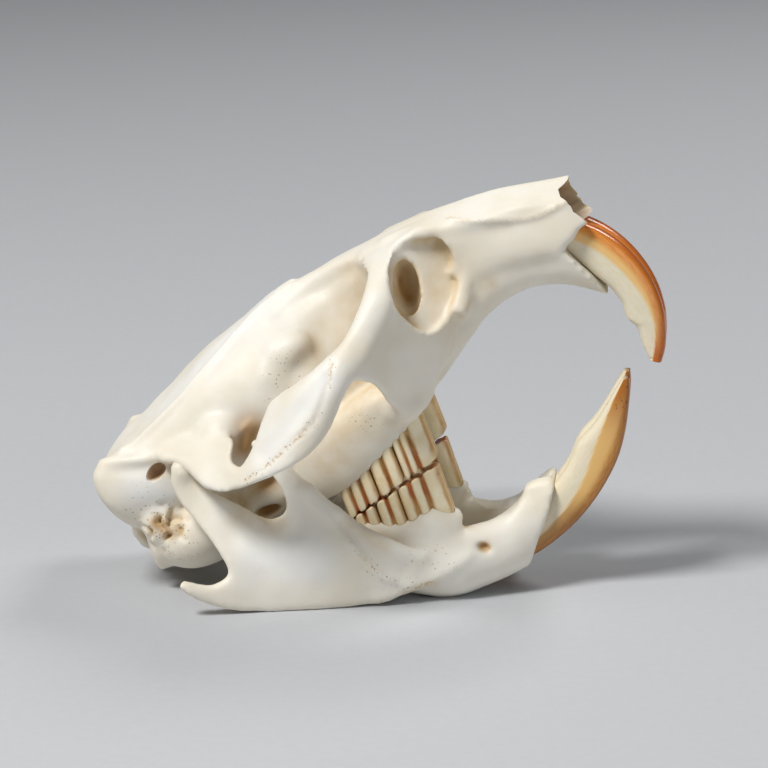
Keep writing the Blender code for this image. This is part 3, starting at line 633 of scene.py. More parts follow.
NEAR_BREAK = (
    (61.0, 3.0), (59.5, 2.1), (59.36, 1.2), (58.85, 0.74), (58.2, 0.5), (57.3, 0.3),
    (56.98, -0.55), (57.24, -1.26), (57.25, -1.66), (57.37, -1.97), (57.29, -2.63), (57.65, -3.4),
    (58.06, -4.42), (58.9, -4.9), (61.0, -4.9),
)
FAR_BREAK = (
    (61.0, 2.0), (58.3, 1.0), (58.13, 0.15), (57.57, -0.34), (57.4, -0.62), (57.68, -1.41),
    (57.89, -2.11), (57.62, -2.31), (57.92, -2.64), (57.73, -3.27), (57.9, -3.96), (58.17, -4.56),
    (57.92, -5.0), (57.55, -5.5), (61.0, -5.8),
)
TEMPORAL_HOLE = (
    (19.6, -3.7), (18.0, -3.9), (16.6, -4.4), (15.4, -4.9), (14.7, -5.6), (14.4, -6.4), (14.7, -7.2),
    (15.7, -7.1), (17.3, -6.2), (19.0, -5.0),
)
NOSE_OPENING = (
    (44.0, ((0, 1.2), (1.2, 0.9), (1.8, -0.2), (1.8, -1.0), (1.2, -1.8), (0.6, -2.2), (0, -2.3))),
    (50.0, ((0, 1.8), (2.1, 1.0), (3.1, -0.1), (3.2, -1.1), (2.4, -2.0), (1.2, -2.5), (0, -2.6))),
    (56.0, ((0, 0.4), (2.4, -0.5), (3.4, -1.5), (3.5, -2.3), (2.7, -2.8), (1.2, -3.1), (0, -3.2))),
    (60.0, ((0, -0.7), (2.5, -1.4), (3.5, -2.1), (3.5, -2.8), (2.7, -3.4), (1.2, -3.7), (0, -3.8))),
)


def lofted_vault(name, stations):
    """A body mirrored about y = 0. Each station is x and its half outline, roof to floor, as (y, z)."""
    xs = smooth_rows([[x] for x, _ in stations], 4)
    halves = smooth_rows([outline for _, outline in stations], 4)
    rings = []
    for (x,), half in zip(xs, halves):
        half = smooth_rows(half, 4)
        half[:, 0] = np.maximum(half[:, 0], 0)
        other = half[-2:0:-1] * (-1, 1)
        rings.append([(x, y, z) for y, z in np.concatenate([half, other])])
    return skin_rings(name, rings)


def limb(name, stations):
    """A tapering limb of bone through stations (x, y, z, half width, half height)."""
    around = 20
    angles = [2 * math.pi * k / around for k in range(around)]
    rows = smooth_rows(stations, 5)
    rings = []
    for i, row in enumerate(rows):
        ahead = rows[min(i + 1, len(rows) - 1)][:3] - rows[max(i - 1, 0)][:3]
        ahead = Vector(ahead).normalized()
        across = ahead.cross(Vector((0, 0, 1)))
        if across.length < 0.2:
            across = Vector((0, 1, 0))
        across = (across - ahead * across.dot(ahead)).normalized()
        up = across.cross(ahead)
        centre = Vector(row[:3])
        rings.append(
            [centre + across * row[3] * math.cos(a) + up * row[4] * math.sin(a) for a in angles]
        )
    return skin_rings(name, rings)


def lump(name, centre, radii, pitch=0.0):
    """A rounded mass of bone, pitched nose-up by this many degrees."""
    bm = bmesh.new()
    bmesh.ops.create_uvsphere(bm, u_segments=32, v_segments=16, radius=1.0)
    place = Matrix.Translation(Vector(centre)) @ Matrix.Rotation(-math.radians(pitch), 4, "Y")
    bmesh.ops.transform(bm, matrix=place @ Matrix.Diagonal((*radii, 1)), verts=bm.verts)
    return mesh_of(bm, name)


def depth_surface(spots):
    """The smooth surface y(x, z) through spots (x, z, y), as a thin metal sheet would bend."""
    spots = np.asarray(spots, float)
    places = spots[:, :2]

    def bend(points):
        gap = np.linalg.norm(points[:, None] - places[None], axis=2)
        return gap**2 * np.log(np.maximum(gap, 1e-9))

    count = len(spots)
    flat = np.column_stack([np.ones(count), places])
    system = np.block([[bend(places), flat], [flat.T, np.zeros((3, 3))]])
    weights = np.linalg.solve(system, np.concatenate([spots[:, 2], np.zeros(3)]))

    def depth(points):
        return bend(points) @ weights[:count] + weights[count] + points @ weights[count + 1:]

    return depth


def blade(name, outline, depths, thickness, edge=0.35):
    """A thin blade of bone: an outline seen from the side, then bowed sideways through depths."""
    path = bpy.data.curves.new(name, "CURVE")
    path.dimensions = "2D"
    path.fill_mode = "BOTH"
    path.extrude = thickness / 2 - edge
    path.bevel_depth = edge
    path.bevel_resolution = 2
    path.offset = -edge
    points = smooth_rows(outline, 4, closed=True)
    spline = path.splines.new("POLY")
    spline.points.add(len(points) - 1)
    for point, (x, z) in zip(spline.points, points):
        point.co = (x, z, 0, 1)
    spline.use_cyclic_u = True
    bm = bmesh.new()
    bm.from_mesh(settled(linked(name, path)))
    bmesh.ops.remove_doubles(bm, verts=bm.verts, dist=0.01)
    bmesh.ops.rotate(bm, verts=bm.verts, matrix=Matrix.Rotation(math.radians(90), 3, "X"))
    dense = remeshed(mesh_of(bm, name), CELL)
    places = points_of(dense)
    places[:, 1] += depth_surface(depths)(places[:, [0, 2]])
    move_points(dense, places)
    return dense


LEAN_BACK = 0.219
LEAN_DOWN = 0.161


def side_slab(name, outline, y_from, y_to, lean=0.0):
    """A prism whose outline (x, z) is seen from the side, reaching from one y to another. A leaning
    one goes down and back as it goes left, about the outline as it is drawn halfway."""
    rings = []
    for y in (y_from, y_to):
        shift = lean * (y - (y_from + y_to) / 2)
        rings.append([(x - LEAN_BACK * shift, y, z - LEAN_DOWN * shift) for x, z in outline])
    return skin_rings(name, rings)


def bowl(name, outline, depths):
    """The air in a window that opens sideways, down to a curved floor at the given depths."""
    curve = smooth_rows(outline, 3, closed=True)
    centre = curve.mean(axis=0)
    floor = depth_surface(depths)
    rings = []
    for share, rise in ((1.0, None), (1.0, 0.5), (0.96, 0.2), (0.86, 0.04), (0.6, 0.0), (0.3, 0.0)):
        ring = centre + (curve - centre) * share
        across = np.full(len(ring), -14.0) if rise is None else floor(ring) - rise
        rings.append([(x, y, z) for (x, z), y in zip(ring, across)])
    return skin_rings(name, rings)


def together(name, meshes):
    bm = bmesh.new()
    for mesh in meshes:
        bm.from_mesh(mesh)
    return mesh_of(bm, name)


def opened(mesh, cutters):
    """The mesh with each cutter's shape taken out of it."""
    tools = [linked("cutter", cutter) for cutter in cutters]
    cut = {"operation": "DIFFERENCE", "solver": "MANIFOLD"}
    made = modified(mesh, [("BOOLEAN", {**cut, "object": tool}) for tool in tools])
    for tool in tools:
        bpy.data.objects.remove(tool)
    return made


def fused(name, pieces, cutters):
    """One bone grown together from overlapping pieces, opened by cutters, its edges eased."""
    solid = remeshed(together(name, pieces), CELL)
    move_points(solid, relaxed(solid, points_of(solid), 4))
    skin = remeshed(opened(solid, cutters), CELL)
    move_points(skin, relaxed(skin, points_of(skin), 3))
    return skin


def closeness(points, line, width):
    """How near each point is to a curve through spots: 1 on it, falling away over this width."""
    curve = smooth_rows(line, 4)
    best = np.full(len(points), 1e9)
    for a, b in zip(curve, curve[1:]):
        span = b - a
        share = np.clip((points - a) @ span / max(span @ span, 1e-9), 0, 1)
        best = np.minimum(best, np.linalg.norm(points - a - share[:, None] * span, axis=1))
    return np.exp(-((best / width) ** 2))


def push_out(mesh, distance):
    """Moves the points along their normals, by one distance or by one for each point."""
    move_points(mesh, points_of(mesh) + outward(mesh) * np.reshape(distance, (-1, 1)))


def on_the_right(mesh):
    """The mesh's points, with those of its left side folded over to the right."""
    points = points_of(mesh)
    points[:, 1] = -np.abs(points[:, 1])
    return points


def worked(mesh, reliefs):
    """Relief worked into a skin: each is a line of spots, its width and how far it stands out."""
    points = on_the_right(mesh)
    push_out(mesh, sum(height * closeness(points, line, width) for line, width, height in reliefs))


def hollows(mesh, times):
    """How far each point lies in a hollow, in millimetres: above zero in creases, below on ridges."""
    points = points_of(mesh)
    return np.einsum("ij,ij->i", relaxed(mesh, points, times) - points, outward(mesh))


def grown(mesh, amount):
    """The mesh swollen outwards, for a socket a little wider than its tooth."""
    swollen = mesh.copy()
    push_out(swollen, amount)
    return swollen


def carried(source, target, names):
    """Copies point values from the skin before a cut to the skin after it, by nearest point. The walls
    of the cut turn amber with their distance from the old skin, in millimetres: painted shade that
    deepens inside the cut."""
    places = points_of(source)
    tree = kdtree.KDTree(len(places))
    for i, place in enumerate(places):
        tree.insert(place, i)
    tree.balance()
    found = [tree.find(p) for p in points_of(target)]
    nearest = np.array([index for _, index, _ in found])
    depth = smooth_step(np.array([gap for _, _, gap in found]), 0.22, 0.8)
    for name in names:
        values = np.empty(len(places), np.float32)
        source.attributes[name].data.foreach_get("value", values)
        values = values[nearest]
        # Painted shade: the deeper the wall of a cut, the more amber.
        if name == "amber":
            values = np.maximum(values, 0.75 * depth)
        note(target, name, values)


def bone_material(name):
    """Dry ivory bone: tan in creases (partly stain, partly painted shade), tan painted shade where bone
    closes over it, amber in openings (partly stain, partly painted shade deep inside), pin-pricked
    where it is porous.
    """
    paint = Paint(name)
    where = paint.where()
    cloud = paint.noise(where, 130.0, detail=5.0)
    mottle = paint.noise(where, 620.0, detail=6.0)
    grain = paint.noise(where, 2600.0)
    ivory = paint.mix(paint.ramp(cloud, 0.35, 0.65), (0.810, 0.748, 0.620), (0.868, 0.832, 0.745))
    cool = paint.mix(paint.read("cool"), ivory, (0.86, 0.848, 0.805))
    uneven = paint.work("ADD", paint.times(paint.ramp(mottle, 0.25, 0.75), 0.6), 0.55)
    # Tan in creases is partly stain, partly painted shade; the tan where bone closes over a point is
    # painted shade.
    tanned = paint.mix(paint.times(paint.read("hollow"), uneven), cool, (0.64, 0.47, 0.25))
    shaded = paint.mix(paint.times(paint.read("closed"), uneven), tanned, (0.66, 0.51, 0.30))
    # Amber in openings is partly stain and partly painted shade deep inside them.
    amber = paint.mix(paint.read("amber"), shaded, (0.46, 0.265, 0.10))
    line = paint.times(paint.read("suture"), paint.ramp(grain, 0.44, 0.58))
    sutured = paint.mix(line, amber, (0.57, 0.39, 0.18))
    cells = paint.add("ShaderNodeTexVoronoi")
    paint.feed(cells.inputs["Scale"], 2800.0)
    paint.feed(cells.inputs["Vector"], where)
    hole = paint.work("SUBTRACT", 1.0, paint.ramp(cells.outputs["Distance"], 0.12, 0.30))
    hole = paint.times(hole, paint.ramp(cells.outputs["Color"], 0.45, 0.55))
    hole = paint.times(hole, paint.read("pores"))
    pricked = paint.mix(hole, sutured, (0.34, 0.20, 0.09))
    roughness = paint.work("ADD", paint.times(mottle, 0.22), 0.38)
    height = paint.work("ADD", paint.times(grain, 0.35), mottle)
    height = paint.work("SUBTRACT", height, hole)
    paint.feed(paint.sockets["Specular IOR Level"], 0.42)
    return paint.finish(pricked, roughness, (0.15, (1.0, 0.7, 0.45), 0.0012), height, 0.4, 0.00009)


def both_sides(pieces):
    return pieces + [mirrored(piece) for piece in pieces]


cranium_right = [
    blade("cheek arch", ARCH_OUTLINE, ARCH_DEPTHS, 1.7),
    blade("canal web", WEB_OUTLINE, [(x, z, y + 0.45) for x, z, y in WINDOW_FLOOR], 1.1, edge=0.2),
    lump("ear bulla", (5.0, -7.2, -12.4), (5.2, 4.0, 3.8), pitch=-12),
    lump("mastoid", (2.6, -8.6, -9.4), (2.4, 2.2, 2.8)),
    limb("cheek window rim", ((39.4, -4.9, 3.6, 0.8, 0.7), (42.0, -4.6, 3.6, 0.8, 0.8),
                              (44.4, -3.7, 2.2, 1.1, 0.9), (45.0, -3.4, -0.4, 1.2, 1.2),
                              (44.0, -3.5, -3.0, 1.2, 1.2), (41.3, -5.2, -5.9, 1.3, 1.2))),
    lump("cheek root", (31.6, -7.0, -10.9), (2.6, 2.2, 2.4), pitch=30),
    lump("throat side", (13.0, -4.8, -13.0), (4.4, 2.7, 2.6), pitch=8),
    lump("squamosal corner", (22.8, -5.4, -1.0), (4.1, 2.65, 2.7), pitch=15),
    lump("squamosal root", (13.2, -8.2, -4.2), (3.0, 3.2, 2.8), pitch=8),
    limb("inner strut", ((14.2, -9.2, -6.6, 0.5, 0.5), (15.6, -10.3, -5.7, 0.6, 0.5),
                         (17.2, -9.6, -4.4, 0.5, 0.5))),
    limb("ear spur", ((1.8, -8.2, -9.0, 1.6, 1.4), (0.6, -8.0, -11.8, 1.3, 1.1),
                      (-0.2, -7.6, -14.0, 0.8, 0.7))),
    limb("condyle", ((0.6, -2.6, -12.6, 1.2, 1.4), (-1.6, -2.9, -10.6, 1.3, 1.3),
                     (-1.0, -3.4, -8.2, 1.0, 1.0))),
    limb("palate wing", ((20.0, -3.2, -13.4, 0.7, 1.6), (15.5, -3.0, -14.6, 0.6, 1.8),
                         (11.0, -3.6, -14.4, 0.6, 1.2), (8.4, -4.4, -13.4, 0.8, 0.9))),
]
cranium_cutters = [
    side_slab("snout front", SNOUT_FRONT, -8, 8),
    lofted_vault("nose opening", NOSE_OPENING),
    lump("foramen magnum", (-1.0, 0, -7.4), (7.0, 2.7, 2.4)),
] + both_sides([
    bowl("window", WINDOW_OUTLINE, WINDOW_FLOOR),
    lump("infraorbital canal", (38.3, -5.6, -0.6), (1.35, 3.6, 3.0), pitch=-21),
    side_slab("temporal hole", TEMPORAL_HOLE, -15.0, -9.7),
    lump("ear tube", (14.4, -8.2, -11.2), (1.3, 2.2, 0.8), pitch=-10),
    lump("throat hole", (12.9, -6.9, -14.1), (1.6, 1.6, 0.55), pitch=-12),
])
cranium = fused(
    "cranium",
    [lofted_vault("braincase and snout", VAULT), lofted_vault("alveoli", ALVEOLI)]
    + both_sides(cranium_right),
    cranium_cutters,
)

NASAL_SUTURE = ((45.7, -3.9, 3.3), (47.6, -4.6, 2.1), (49.9, -4.7, 1.0), (52.5, -4.6, -0.45),
                (54.9, -4.6, -1.1), (56.7, -4.4, -1.1), (58.1, -4.1, -1.4))
NASAL_TROUGH = ((43.8, -5.0, 2.3), (45.6, -4.9, 1.7), (47.8, -4.8, 0.7), (50.6, -4.7, -0.6))
INCISOR_CAPSULE = ((55.4, -4.7, -4.6), (52.5, -4.7, -3.9), (49.4, -4.6, -3.0), (46.4, -4.4, -2.5))
CAPSULE_CREASE = ((53.5, -4.3, -6.2), (50.1, -4.5, -5.0), (47.7, -4.4, -4.4), (45.8, -4.3, -4.3),
                  (43.6, -5.0, -4.6), (42.0, -6.3, -5.4))
JUGAL_SUTURE = ((29.7, -16.4, -2.1), (27.5, -18.0, -4.4), (25.4, -18.6, -6.1), (23.6, -18.9, -6.6),
                (20.7, -19.0, -7.3), (18.1, -18.6, -7.9), (15.6, -18.0, -8.2))
JUGAL_PLATE = ((28.0, -17.2, -3.2), (25.0, -18.2, -4.4), (22.0, -18.6, -5.4), (18.5, -18.4, -6.4))
BAR_FACE = ((38.0, -10.2, 1.5), (36.6, -12.0, -0.4), (35.0, -13.8, -2.2), (33.0, -15.4, -3.6))
TEMPORAL_RIDGE = ((26.5, -0.9, 5.2), (24.0, -1.4, 4.9), (21.2, -2.85, 4.4), (19.1, -3.9, 3.9),
                  (16.1, -5.6, 2.8), (11.1, -7.3, 1.2), (6.7, -8.0, 0.0), (3.0, -8.6, -0.4))
UNDER_TEMPORAL_RIDGE = ((34.0, -2.6, 3.6), (30.0, -2.2, 3.6), (26.5, -2.6, 3.4), (23.0, -4.4, 3.0))
SQUAMOSAL_RIDGE = ((0.6, -9.2, -0.5), (4.3, -9.9, -1.9), (7.0, -10.6, -2.9), (9.1, -11.8, -4.2),
                   (9.8, -12.9, -5.6), (11.0, -14.6, -7.4))
UNDER_SQUAMOSAL_RIDGE = ((1.4, -9.8, -1.8), (4.6, -10.3, -3.0), (7.0, -10.8, -4.2), (8.6, -11.0, -5.6))
worked(cranium, (
    (NASAL_SUTURE, 0.32, 0.22),
    (NASAL_TROUGH, 0.8, -0.10),
    (INCISOR_CAPSULE, 1.8, 0.28),
    (CAPSULE_CREASE, 1.0, -0.16),
    (JUGAL_SUTURE, 0.30, -0.18),
    (JUGAL_PLATE, 1.1, -0.32),
    (BAR_FACE, 1.2, 0.22),
    (TEMPORAL_RIDGE, 0.5, 0.45),
    (UNDER_TEMPORAL_RIDGE, 1.0, -0.35),
    (SQUAMOSAL_RIDGE, 0.6, 0.45),
    (UNDER_SQUAMOSAL_RIDGE, 0.8, -0.20),
    (((35.1, -3.4, 3.9), (35.6, -3.8, 2.9)), 0.9, 0.4),
    (((38.4, -3.0, 4.8), (41.8, -3.6, 4.4)), 1.0, 0.3),
    (((23.2, -4.5, 3.0), (22.4, -6.7, 1.5), (20.8, -8.4, -0.9)), 1.3, 0.35),
    (((27.7, -4.8, -0.1), (29.9, -3.4, 2.0)), 2.2, -0.3),
    (((25.0, -7.3, -1.6), (23.1, -8.1, -2.6)), 1.2, -0.35),
    (((2.2, -10.3, -7.0), (3.4, -10.6, -9.4)), 1.8, -0.25),
))


def roughened(mesh, centre, radius, size, depth):
    """Bone worn into small pits round a spot."""
    near = np.exp(-(np.linalg.norm(on_the_right(mesh) - centre, axis=1) / radius) ** 2)
    chosen = np.flatnonzero(near > 0.05)
    pits = smooth_step(speckle(points_of(mesh)[chosen], size), 0.0, 0.5)
    shift = np.zeros(len(near))
    shift[chosen] = -depth * near[chosen] * pits
    push_out(mesh, shift)


roughened(cranium, (2.8, -10.6, -9.6), 2.0, 0.8, 1.2)
push_out(cranium, 0.07 * speckle(points_of(cranium), 2.6, seed=3.0))


def enclosed(mesh, reach):
    """How much of the open air over each point is closed off by bone within reach: 0 to 1."""
    rays = 14
    points, normals = points_of(mesh), outward(mesh)
    wall = BVHTree.FromPolygons(points.tolist(), [tuple(face.vertices) for face in mesh.polygons])
    shares = (np.arange(rays) + 0.5) / rays
    turns = math.pi * (1 + math.sqrt(5)) * np.arange(rays)
    flat = np.sqrt(shares)
    fan = np.column_stack([flat * np.cos(turns), flat * np.sin(turns), np.sqrt(1 - shares)])
    spins = np.random.default_rng(7).uniform(0, 2 * math.pi, len(points))
    closed = np.zeros(len(points))
    for i, (point, normal) in enumerate(zip(points, normals)):
        turn = Vector((0, 0, 1)).rotation_difference(Vector(normal)).to_matrix()
        turn = turn @ Matrix.Rotation(spins[i], 3, "Z")
        start = Vector(point + normal * 0.05)
        for ray in fan @ np.array(turn).T:
            distance = wall.ray_cast(start, ray, reach)[3]
            if distance is not None:
                closed[i] += 1 - distance / reach
    spread = np.column_stack([closed / rays] * 3)
    return relaxed(mesh, spread, 8)[:, 0]


def mark_bone(mesh, pore_spots, amber_spots, cool_spots, painted_shade_spots, sutures):
    """Notes where the bone is hollow (tan creases, partly stain and partly painted shade), amber
    (openings, partly stain and partly painted shade deep inside), porous, cool, in painted shade
    (enclosed places and the given shade spots) or crossed by a suture.
    """
    points = on_the_right(mesh)

    def spotted(spots):
        return np.max([closeness(points, line, width) for line, width in spots], axis=0)

    fine = smooth_step(hollows(mesh, 4), 0.03, 0.16)
    broad = smooth_step(hollows(mesh, 30), 0.10, 0.75)
    closed = enclosed(mesh, 10.0)
    # Tan in creases: partly stain, partly painted shade.
    note(mesh, "hollow", np.maximum(fine * 0.7, broad * 0.6))
    # Painted shade: tan where bone closes off the air over a point, and along the given shade spots.
    note(mesh, "closed", np.maximum(smooth_step(closed, 0.03, 0.30), 0.6 * spotted(painted_shade_spots)))
    # Amber: stain at the given openings, and painted shade where the bone is most enclosed.
    note(mesh, "amber", np.maximum(spotted(amber_spots), 0.45 * smooth_step(closed, 0.45, 0.75)))
    note(mesh, "pores", spotted(pore_spots) * 1.3)
    note(mesh, "cool", spotted(cool_spots))
    note(mesh, "suture", spotted(sutures))


mark_bone(
    cranium,
    pore_spots=(
        (((23.1, -8.1, -2.2), (22.1, -8.6, -3.4)), 2.2),
        (((2.4, -10.3, -7.7), (4.0, -10.4, -11.0)), 2.6),
        (JUGAL_SUTURE, 0.5),
        (((27.0, -8.0, -10.0), (28.0, -8.2, -11.0)), 0.9),
    ),
    amber_spots=(
        (((16.6, -9.2, -5.0), (15.2, -9.8, -6.4)), 1.8),
        (((14.2, -6.8, -11.2), (14.6, -6.8, -11.2)), 1.2),
        (((12.4, -5.9, -14.1), (13.4, -5.9, -14.1)), 0.9),
        (((2.4, -10.6, -8.6), (3.4, -10.8, -10.4)), 0.7),
        (((37.6, -3.2, 0.0), (37.4, -3.2, -2.0)), 0.8),
    ),
    cool_spots=(
        (((2.6, -9.8, -4.6), (5.0, -10.0, -6.8)), 2.4),
        (((22.0, -2.0, 4.6), (16.0, -4.0, 3.6), (9.0, -5.5, 2.0)), 2.6),
        (JUGAL_PLATE, 1.8),
    ),
    # Painted shade at these spots: in the orbit and window, beneath the cheek arch and under the
    # ridges.
    painted_shade_spots=(
        (((33.5, -3.4, 3.0), (32.0, -3.4, 0.0), (30.0, -4.4, -3.0)), 2.6),
        (((28.0, -5.0, 0.6), (26.0, -7.0, -2.0)), 1.6),
        (((30.0, -5.6, -5.5), (28.0, -7.2, -8.0), (25.5, -7.8, -10.0), (22.0, -8.2, -12.6)), 3.0),
        (((5.8, -9.6, -2.9), (9.4, -10.4, -5.6)), 0.7),
        (((46.0, -4.2, -4.9), (43.0, -5.8, -5.6)), 0.8),
        (((42.6, -3.6, 1.6), (42.0, -4.2, -1.6), (40.0, -5.2, -3.8)), 2.4),
    ),
    sutures=(
        (NASAL_SUTURE, 0.22),
        (JUGAL_SUTURE, 0.16),
        (TEMPORAL_RIDGE[:5], 0.25),
        (((35.1, -3.4, 3.9), (35.6, -3.8, 2.9), (36.4, -4.6, 2.4)), 0.35),
    ),
)


def to_own_frame(points):
    """Points of the world taken back into the cranium's own frame."""
    c, s = math.cos(SNOUT_PITCH), math.sin(SNOUT_PITCH)
    x, y, z = (points - OCCIPUT_RIM).T
    return np.column_stack([x * c + z * s, y, z * c - x * s])


SOCKET_GAP = 0.07
ROOT_GAP = 0.10
SHARP_ANGLE = math.radians(55)
SHARE_OF_FACES_KEPT = 0.70
upper_sockets = [grown(tooth, SOCKET_GAP) for _, tooth in upper_teeth]
upper_root = incisor("upper root", UPPER_INCISOR_CENTRE, UPPER_INCISOR, grow=ROOT_GAP)
move_points(upper_root, to_own_frame(points_of(upper_root)))
breaks = [
    side_slab("near break", NEAR_BREAK, -7.2, 0.2, lean=1.0),
    side_slab("far break", FAR_BREAK, 0, 7, lean=1.0),
]
occipital_hole = lump("occipital hole", (5.4, -10.6, -3.95), (1.3, 2.4, 0.85), pitch=14)
pierced = opened(cranium, breaks + both_sides([occipital_hole, *upper_sockets, upper_root]))
BONE_NOTES = ("hollow", "closed", "amber", "pores", "cool", "suture")
carried(cranium, pierced, BONE_NOTES)
cranium_skin = modified(pierced, [("DECIMATE", {"ratio": SHARE_OF_FACES_KEPT})])
carried(pierced, cranium_skin, BONE_NOTES)
move_points(cranium_skin, to_world(points_of(cranium_skin)))
bone = bone_material("dry ivory bone")
cranium_shown = shown("cranium_shown", in_metres(cranium_skin), bone, "cranium")
cranium_shown.data.set_sharp_from_angle(angle=SHARP_ANGLE)


# Lower jaw: two halves that meet in front, each a thin bowed ramus with three processes and a
# stout body round the incisor's root, ivory bone with a masseteric crest along its cheek side.
# The mental foramen opens as a slit ahead of the cheek teeth.
RAMUS_OUTLINE = (
    (-20.5, 14.9), (-19.3, 14.5), (-18.3, 13.5), (-17.0, 12.4), (-14.8, 11.5), (-12.4, 10.4),
    (-11.1, 9.9), (-9.9, 10.0), (-9.0, 10.7), (-9.0, 12.0), (-9.6, 13.4), (-10.7, 15.0),
    (-12.2, 16.9), (-12.8, 18.1), (-11.5, 18.5), (-9.9, 17.2), (-8.5, 15.6), (-6.9, 14.0),
    (-5.3, 12.2), (-3.0, 10.4), (-0.6, 8.5), (1.8, 7.2), (4.1, 5.9), (7.1, 4.6), (8.3, 3.5),
    (6.4, 2.2), (4.2, 1.2), (2.6, 0.7), (1.0, 0.3), (-1.7, 0.0), (-5.3, -0.1), (-7.4, -0.1),
    (-10.5, -0.1), (-14.2, 0.3), (-17.2, 1.4), (-19.1, 2.7), (-19.9, 3.6), (-19.2, 4.0),
    (-17.1, 3.3), (-15.8, 3.4), (-14.9, 4.0), (-14.9, 4.8), (-16.4, 7.0), (-18.1, 8.9),
    (-19.9, 10.8), (-21.0, 12.5), (-21.4, 13.9),
)
RAMUS_DEPTHS = (
    (-20.4, 14.6, -11.8), (-19.8, 11.4, -12.2), (-16.4, 8.6, -13.2), (-14.0, 6.0, -14.0),
    (-19.6, 3.6, -17.0), (-16.5, 2.0, -15.8), (-12.0, 1.0, -14.2), (-14.5, 10.8, -12.2),
    (-11.0, 8.0, -12.6), (-12.2, 17.8, -12.2), (-8.8, 14.6, -12.3), (-6.0, 12.2, -12.0),
    (-6.0, 6.0, -12.6), (-6.0, 1.0, -12.6), (-1.0, 8.4, -11.2), (0.0, 4.0, -11.0), (0.0, 0.8, -10.8),
    (4.0, 5.4, -9.8), (4.0, 2.0, -9.6), (7.6, 4.0, -8.2),
)
JAW_BODY = (
    (-6.5, -8.8, 4.6, 1.8, 2.4), (-2.0, -7.8, 3.8, 2.4, 3.0), (3.0, -7.0, 3.8, 3.0, 3.3),
    (7.6, -6.4, 3.6, 3.1, 3.8), (11.0, -4.9, 4.1, 3.0, 3.5), (14.2, -3.7, 5.2, 2.7, 3.3),
    (17.0, -2.6, 7.2, 2.4, 3.9), (20.4, -2.3, 9.9, 2.1, 4.1),
)
TOOTH_BLOCK = (
    (-4.4, -6.0, 4.6, 2.0, 2.2), (-0.7, -6.1, 5.0, 2.4, 3.0), (2.4, -6.1, 4.9, 2.5, 3.0),
    (5.2, -6.0, 5.6, 2.5, 3.2), (7.2, -5.7, 6.6, 2.4, 3.5), (8.2, -5.4, 6.3, 2.0, 2.7),
)
JAW_FRONT = (
    (16.4, 2.0), (16.8, 3.7), (17.7, 6.7), (18.5, 8.8), (19.0, 11.3), (19.5, 12.0), (19.5, 18.0),
    (28.0, 18.0), (28.0, 2.0),
)
JAW_TOP = (
    (11.0, 8.0), (12.6, 8.0), (14.0, 8.6), (15.0, 9.5), (15.6, 10.5), (15.9, 11.5), (16.9, 12.0),
    (18.2, 12.3), (19.2, 12.2), (22.0, 12.0), (22.0, 20.0), (10.0, 20.0),
)
JAW_TOP_LEFT = (
    (9.0, 8.4), (10.0, 7.4), (11.5, 7.1), (13.0, 7.4), (14.6, 8.2), (16.2, 9.6), (17.2, 10.8),
    (18.2, 11.7), (19.4, 12.1), (22.0, 12.1), (22.0, 20.0), (9.0, 20.0),
)


def box_of_air(name, low, high):
    """A plain box between two opposite corners."""
    (x0, y0, z0), (x1, y1, z1) = low, high
    return side_slab(name, ((x0, z0), (x1, z0), (x1, z1), (x0, z1)), y0, y1)


jaw = fused(
    "jaw half",
    [
        blade("ramus", RAMUS_OUTLINE, RAMUS_DEPTHS, 1.6),
        limb("body", JAW_BODY),
        limb("tooth block", TOOTH_BLOCK),
        lump("condyle head", (-20.1, -11.8, 14.5), (1.5, 1.2, 1.1), pitch=-40),
        lump("lip bump", (16.9, -2.6, 10.9), (1.7, 1.4, 1.7)),
    ],
    [
        side_slab("lip line", JAW_FRONT, -8, 1),
        side_slab("lip top", JAW_TOP, -8, 1),
        lump("mental foramen", (11.78, -7.6, 5.7), (1.0, 1.4, 0.45), pitch=-28),
    ],
)
MASSETERIC_CREST = ((-7.4, -12.9, 13.4), (-5.8, -12.8, 11.5), (-3.9, -12.6, 9.7), (-2.1, -12.4, 7.3),
                    (0.0, -11.8, 4.6), (1.5, -11.3, 3.3), (2.65, -10.9, 2.8), (3.9, -10.4, 2.25))
RAMUS_FRONT_EDGE = ((-6.4, -12.2, 13.2), (-4.6, -12.0, 11.6), (-2.0, -11.6, 9.6), (0.6, -11.0, 8.0),
                    (3.0, -10.3, 6.6), (5.4, -9.6, 5.4))
FLANGE_EDGE = ((1.0, -11.2, 0.7), (2.6, -10.7, 1.3), (4.6, -10.2, 1.9), (6.5, -9.6, 2.6),
               (8.4, -9.2, 3.9), (10.2, -8.2, 5.0))
worked(jaw, (
    (MASSETERIC_CREST, 0.45, 0.28),
    (RAMUS_FRONT_EDGE, 0.8, 0.40),
    (FLANGE_EDGE, 0.8, 0.28),
    (((-3.0, -12.4, 9.4), (0.6, -11.4, 5.8), (3.4, -10.6, 4.0)), 0.9, -0.40),
    (((3.4, -10.6, 0.9), (6.0, -9.8, 1.6), (8.4, -8.8, 2.6)), 0.8, -0.20),
    (((-14.0, -14.0, 8.6), (-9.0, -13.2, 8.6)), 2.0, -0.35),
    (((8.0, -8.9, 6.4), (10.4, -8.0, 5.2)), 1.1, -0.22),
))
roughened(jaw, (2.0, -11.0, 2.4), 2.0, 0.5, 0.10)
push_out(jaw, 0.06 * speckle(points_of(jaw), 2.2, seed=9.0))
